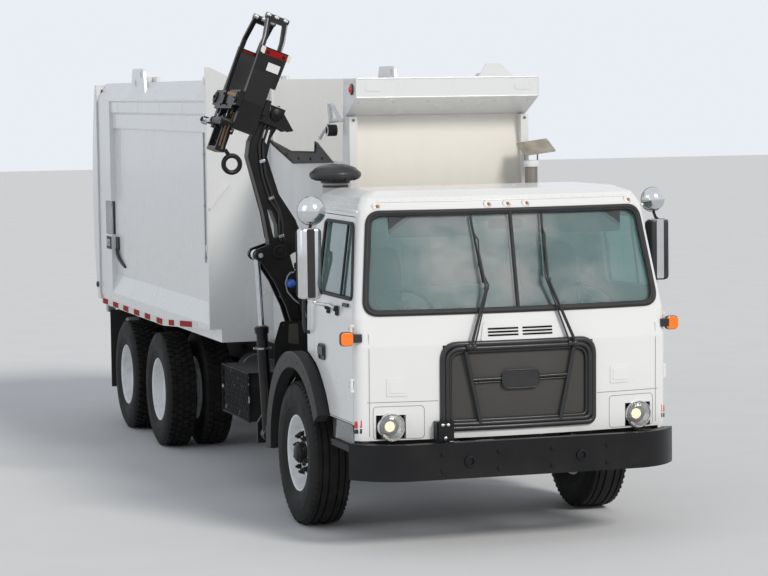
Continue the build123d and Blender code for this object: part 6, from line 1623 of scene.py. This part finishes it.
# The cylinders: black barrels with screwed glands and hose ports, and bright hard-chromed rods.
# A grey clamp bar ties the lift cylinder's hose to its barrel.
# Columns: the two pins, the barrel's length, its radius and its body.
arm_cylinders = (
    (lift_foot, lift_eye, 0.85, 0.045, "lift_barrel"),
    (boom_foot, boom_eye, 0.47, 0.036, "boom_barrel"),
)
for foot, eye, length, radius, barrel in arm_cylinders:
    along = (eye - foot).normalized()
    top = foot + along * length
    gland = Shape()
    gland.turned(((-0.05, radius + 0.001), (-0.05, radius + 0.0095), (-0.03, radius + 0.0095),
                  (-0.028, radius + 0.012), (-0.004, radius + 0.012), (-0.001, radius + 0.006),
                  (0.006, radius - 0.004), (0.008, 0.022), (0.002, 0.021)), top, along, 36)
    for place in (foot + along * 0.13, top - along * 0.085):
        for start, end, thick, sides in ((-0.004, 0.016, 0.013, 12), (0.014, 0.022, 0.016, 6)):
            near, far = (place - Vector((0, radius + out, 0)) for out in (start, end))
            gland.bar(near, far, thick, sides)
    hose = ((top, -0.085, 0.012), (top, -0.16, 0.02), (foot, 0.2, 0.02), (foot, 0.13, 0.012))
    gland.rod([end + along * run - Vector((0, radius + out, 0)) for end, run, out in hose], 0.006, 8)
    gland.make(barrel + "_gland", barrel, arm_black, 0, 45)
    wiper = Shape()
    bore, foot_ring, top_ring = (0.0255, 0.036, 0.034) if radius > 0.04 else (0.0195, 0.028, 0.026)
    wiper.turned(((0.008, bore), (0.008, foot_ring), (0.013, top_ring), (0.013, bore)), top, along, 32)
    wiper.make(barrel + "_wiper", barrel, grey_steel, 0, 45)
lift_along = (lift_eye - lift_foot).normalized()
clamp = Shape()
clamp_at = lift_foot + lift_along * 0.682
clamp.turned(band(-0.008, 0.008, 0.044, 0.05), clamp_at, lift_along, 36)
x, z = clamp_at.x, clamp_at.z
for start, end in ((-0.075, -0.046), (0.046, 0.07)):
    clamp.slab(x + start, x + end, arm_y - 0.012, arm_y + 0.012, z - 0.007, z + 0.007)
clamp.make("lift_clamp", "lift_barrel", grey_steel, 0.001, 45)

# The gripper: a head of welded plates on the wrist pin, and two fingers that close on each other.
# Each finger is a looped bar with a rubber pad inside; a red bar and a white plate mark it.
grip_lean = radians(69)
reach_way = Vector((cos(grip_lean), 0, sin(grip_lean)))
square_way = Vector((sin(grip_lean), 0, -cos(grip_lean)))
across_way = Vector((0, 1, 0))


def grip(a, y, b):
    """A point of the gripper: a along its reach, y along the truck, b square to both."""
    return wrist + reach_way * a + across_way * y + square_way * b


def cheek(shape, outline, thick, y):
    """A plate of (b, a) points on the gripper, square to the truck's length and y off its middle."""
    shape.plate(outline, thick, square_way, reach_way, wrist + across_way * y)


for side, finger in ((-1, "front"), (1, "rear")):
    body = "finger_" + finger
    worn_ends, red_bar, beige, white_plate, pad, dark_parts = (Shape() for _ in range(6))
    for b in (-0.346, -0.28, -0.204):
        place = grip(0.696, side * 0.19, b)
        worn_ends.turned(((-0.02, 0), (-0.02, 0.022), (0.006, 0.022), (0.014, 0.016), (0.016, 0)), place,
                         reach_way, 20)
        worn_ends.bar(grip(0.688, side * 0.188, b - 0.018), grip(0.688, side * 0.188, b + 0.018), 0.0235, 20)
    y_face = side * 0.352
    cheek(red_bar, oblong(-0.318, -0.13, 0.384, 0.428), 0.008, y_face)
    for b0, b1 in ((-0.352, -0.316), (-0.132, -0.104)):
        cheek(beige, rounded(((b0, 0.392), (b1, 0.38), (b1, 0.436), (b0, 0.44)), 0.008, 2), 0.01, y_face)
    for b, a in ((-0.29, 0.406), (-0.16, 0.406)):
        dark_parts.bolt(grip(a, y_face + side * 0.004, b), (0, side, 0), 0.02, 0.008)
    cheek(white_plate, oblong(-0.262, -0.162, 0.268, 0.332), 0.004, side * 0.3575)
    cheek(dark_parts, ((-0.358, 0.15), (-0.14, 0.15), (-0.128, 0.44), (-0.358, 0.44)), 0.006, side * 0.3515)
    for b in (-0.35, -0.19):
        run = [grip(a, side * y, b) for a, y in ((0.44, 0.338), (0.52, 0.326), (0.6, 0.274), (0.66, 0.232))]
        worn_ends.rod([p + across_way * side * 0.002 for p in run], 0.006, 6)
    pad_line = ((0.08, 0.286), (0.33, 0.303), (0.402, 0.298), (0.402, 0.292), (0.33, 0.296), (0.08, 0.279))
    pad.plate([(a, side * y) for a, y in pad_line], 0.13, reach_way, across_way, grip(0, 0, -0.27))
    ring = ((0, 0.03), (0, 0.044), (0.006, 0.042), (0.006, 0.031))
    dark_parts.turned(ring, grip(0, side * 0.32, -0.358), -square_way, 28)
    worn_ends.make("finger_edges_" + finger, body, grey_steel)
    red_bar.make("red_bar_" + finger, body, strip_red, 0.001)
    beige.make("bar_ends_" + finger, body, strip_white, 0.001, slot="body_white")
    white_plate.make("finger_plate_" + finger, body, body_white)
    pad.make("finger_pad_" + finger, body, rubber_trim, 0.002)
    dark_parts.make("finger_bolts_" + finger, body, arm_black, 0.001)
head, tan_parts, head_bright, head_pale = Shape(), Shape(), Shape(), Shape()
for side in (-1, 1):
    for b, way in ((-0.4, -1), (-0.14, 1)):
        place = grip(0, side * 0.32, b)
        head.turned(((-0.001, 0), (-0.001, 0.046), (0.01, 0.046), (0.014, 0.038), (0.014, 0)), place,
                    square_way * way, 28)
        holder = head if way < 0 else head_bright
        holder.bolt(place + square_way * way * 0.014, square_way * way, 0.026, 0.01, False)
    for a, b in ((-0.06, -0.392), (-0.06, -0.3), (0.03, -0.392), (0.03, -0.15), (-0.06, -0.15)):
        head.bolt(grip(a, side * 0.092, b), (0, side, 0), 0.022, 0.008)
    for thick, run in ((0.009, ((-0.4, -0.33), (-0.25, -0.338), (-0.1, -0.33))),
                       (0.008, ((-0.38, -0.356), (-0.24, -0.362), (-0.075, -0.35)))):
        tan_parts.rod([grip(a, side * 0.137, b) for a, b in run], thick, 8)
    head_bright.bar(grip(-0.25, side * 0.142, -0.306), grip(-0.095, side * 0.142, -0.3), 0.009, 12)
    cheek(head_bright, rounded(oblong(-0.386, -0.35, -0.16, -0.122), 0.01, 3), 0.012, side * 0.142)
    wedge = ((0.05, -0.007), (0.058, 0.03), (0.175, -0.07), (0.128, -0.096), (0.055, -0.082))
    cheek(head, wedge, 0.012, side * 0.084)
    cheek(head_pale, oblong(-0.18, 0.05, 0.0605, 0.0655), 0.026, side * 0.078)
    head_pale.turned(((0, 0), (0, 0.018), (0.01, 0.016), (0.012, 0)), grip(-0.045, side * 0.0915, -0.17),
                     (0, side, 0), 20)
for a in (-0.34, -0.22, -0.12):
    head.bar(grip(a, -0.14, -0.345), grip(a, 0.14, -0.345), 0.008, 10)
stop_ring = [grip(-0.48 + 0.065 * u, -0.125, -0.212 + 0.065 * v) for u, v in around(36)]
head.rod(stop_ring, 0.019, 10, True)
head.bar(grip(-0.428, -0.125, -0.248), grip(-0.395, -0.125, -0.3), 0.016, 12)
head.bar(grip(-0.385, -0.125, -0.31), grip(-0.385, 0.125, -0.31), 0.012, 12)
cheek(tan_parts, rounded(oblong(-0.47, -0.415, -0.004, 0.022), 0.006, 2), 0.06, -0.32)
tan = mottled("tan_hose", "trim_black", 30, (0.3, 0.2, 0.1), (0.17, 0.12, 0.07), detail=4, roughness=0.6)
head.make("gripper_pins", "gripper_head", arm_black, 0.001)
tan_parts.make("gripper_hoses", "gripper_head", tan, 0, 60)
head_bright.make("gripper_bright", "gripper_head", bright, 0.001, 45, slot="cylinder_chrome")
head_pale.make("gripper_edges", "gripper_head", body_white, 0.001, 45, slot="wheel_white")
pin_caps = Shape()
for face in (-1, 1):
    pin_head(pin_caps, wrist, face, 0.1, 0.048)
pin_caps.make("wrist_pin_caps", "gripper_head", arm_black, 0.001, 45)
grip_gland = Shape()
grip_foot = grip(-0.2, -0.32, -0.426)
grip_gland.turned(((0.31, 0.028), (0.31, 0.033), (0.346, 0.033), (0.35, 0.029), (0.351, 0.016),
                   (0.345, 0.0155)), grip_foot, across_way, 28)
grip_gland.turned(band(0.04, 0.06, 0.0275, 0.031), grip_foot, across_way, 28)
for reach in (0.085, 0.29):
    port = grip_foot + across_way * reach
    grip_gland.bar(port - reach_way * 0.024, port - reach_way * 0.044, 0.01, 10)
grip_gland.make("grip_gland", "grip_barrel", arm_black, 0, 45)

# Steering knuckles: forged steel on king pins, with greasy caps above and below the axle's end.
# They turn with the front wheels, inside the rims.
for side, side_name in both_sides:
    forged = Shape()
    for end in (-1, 1):
        place = Vector((side * 0.9, front_axle_y, wheel_z_front + end * 0.124))
        forged.turned(((-0.002, 0), (-0.002, 0.03), (0.006, 0.028), (0.009, 0)), place, (0, 0, end), 24)
    forged.make("king_pin_caps_" + side_name, "knuckle_" + side_name, chassis_paint, 0, 45)
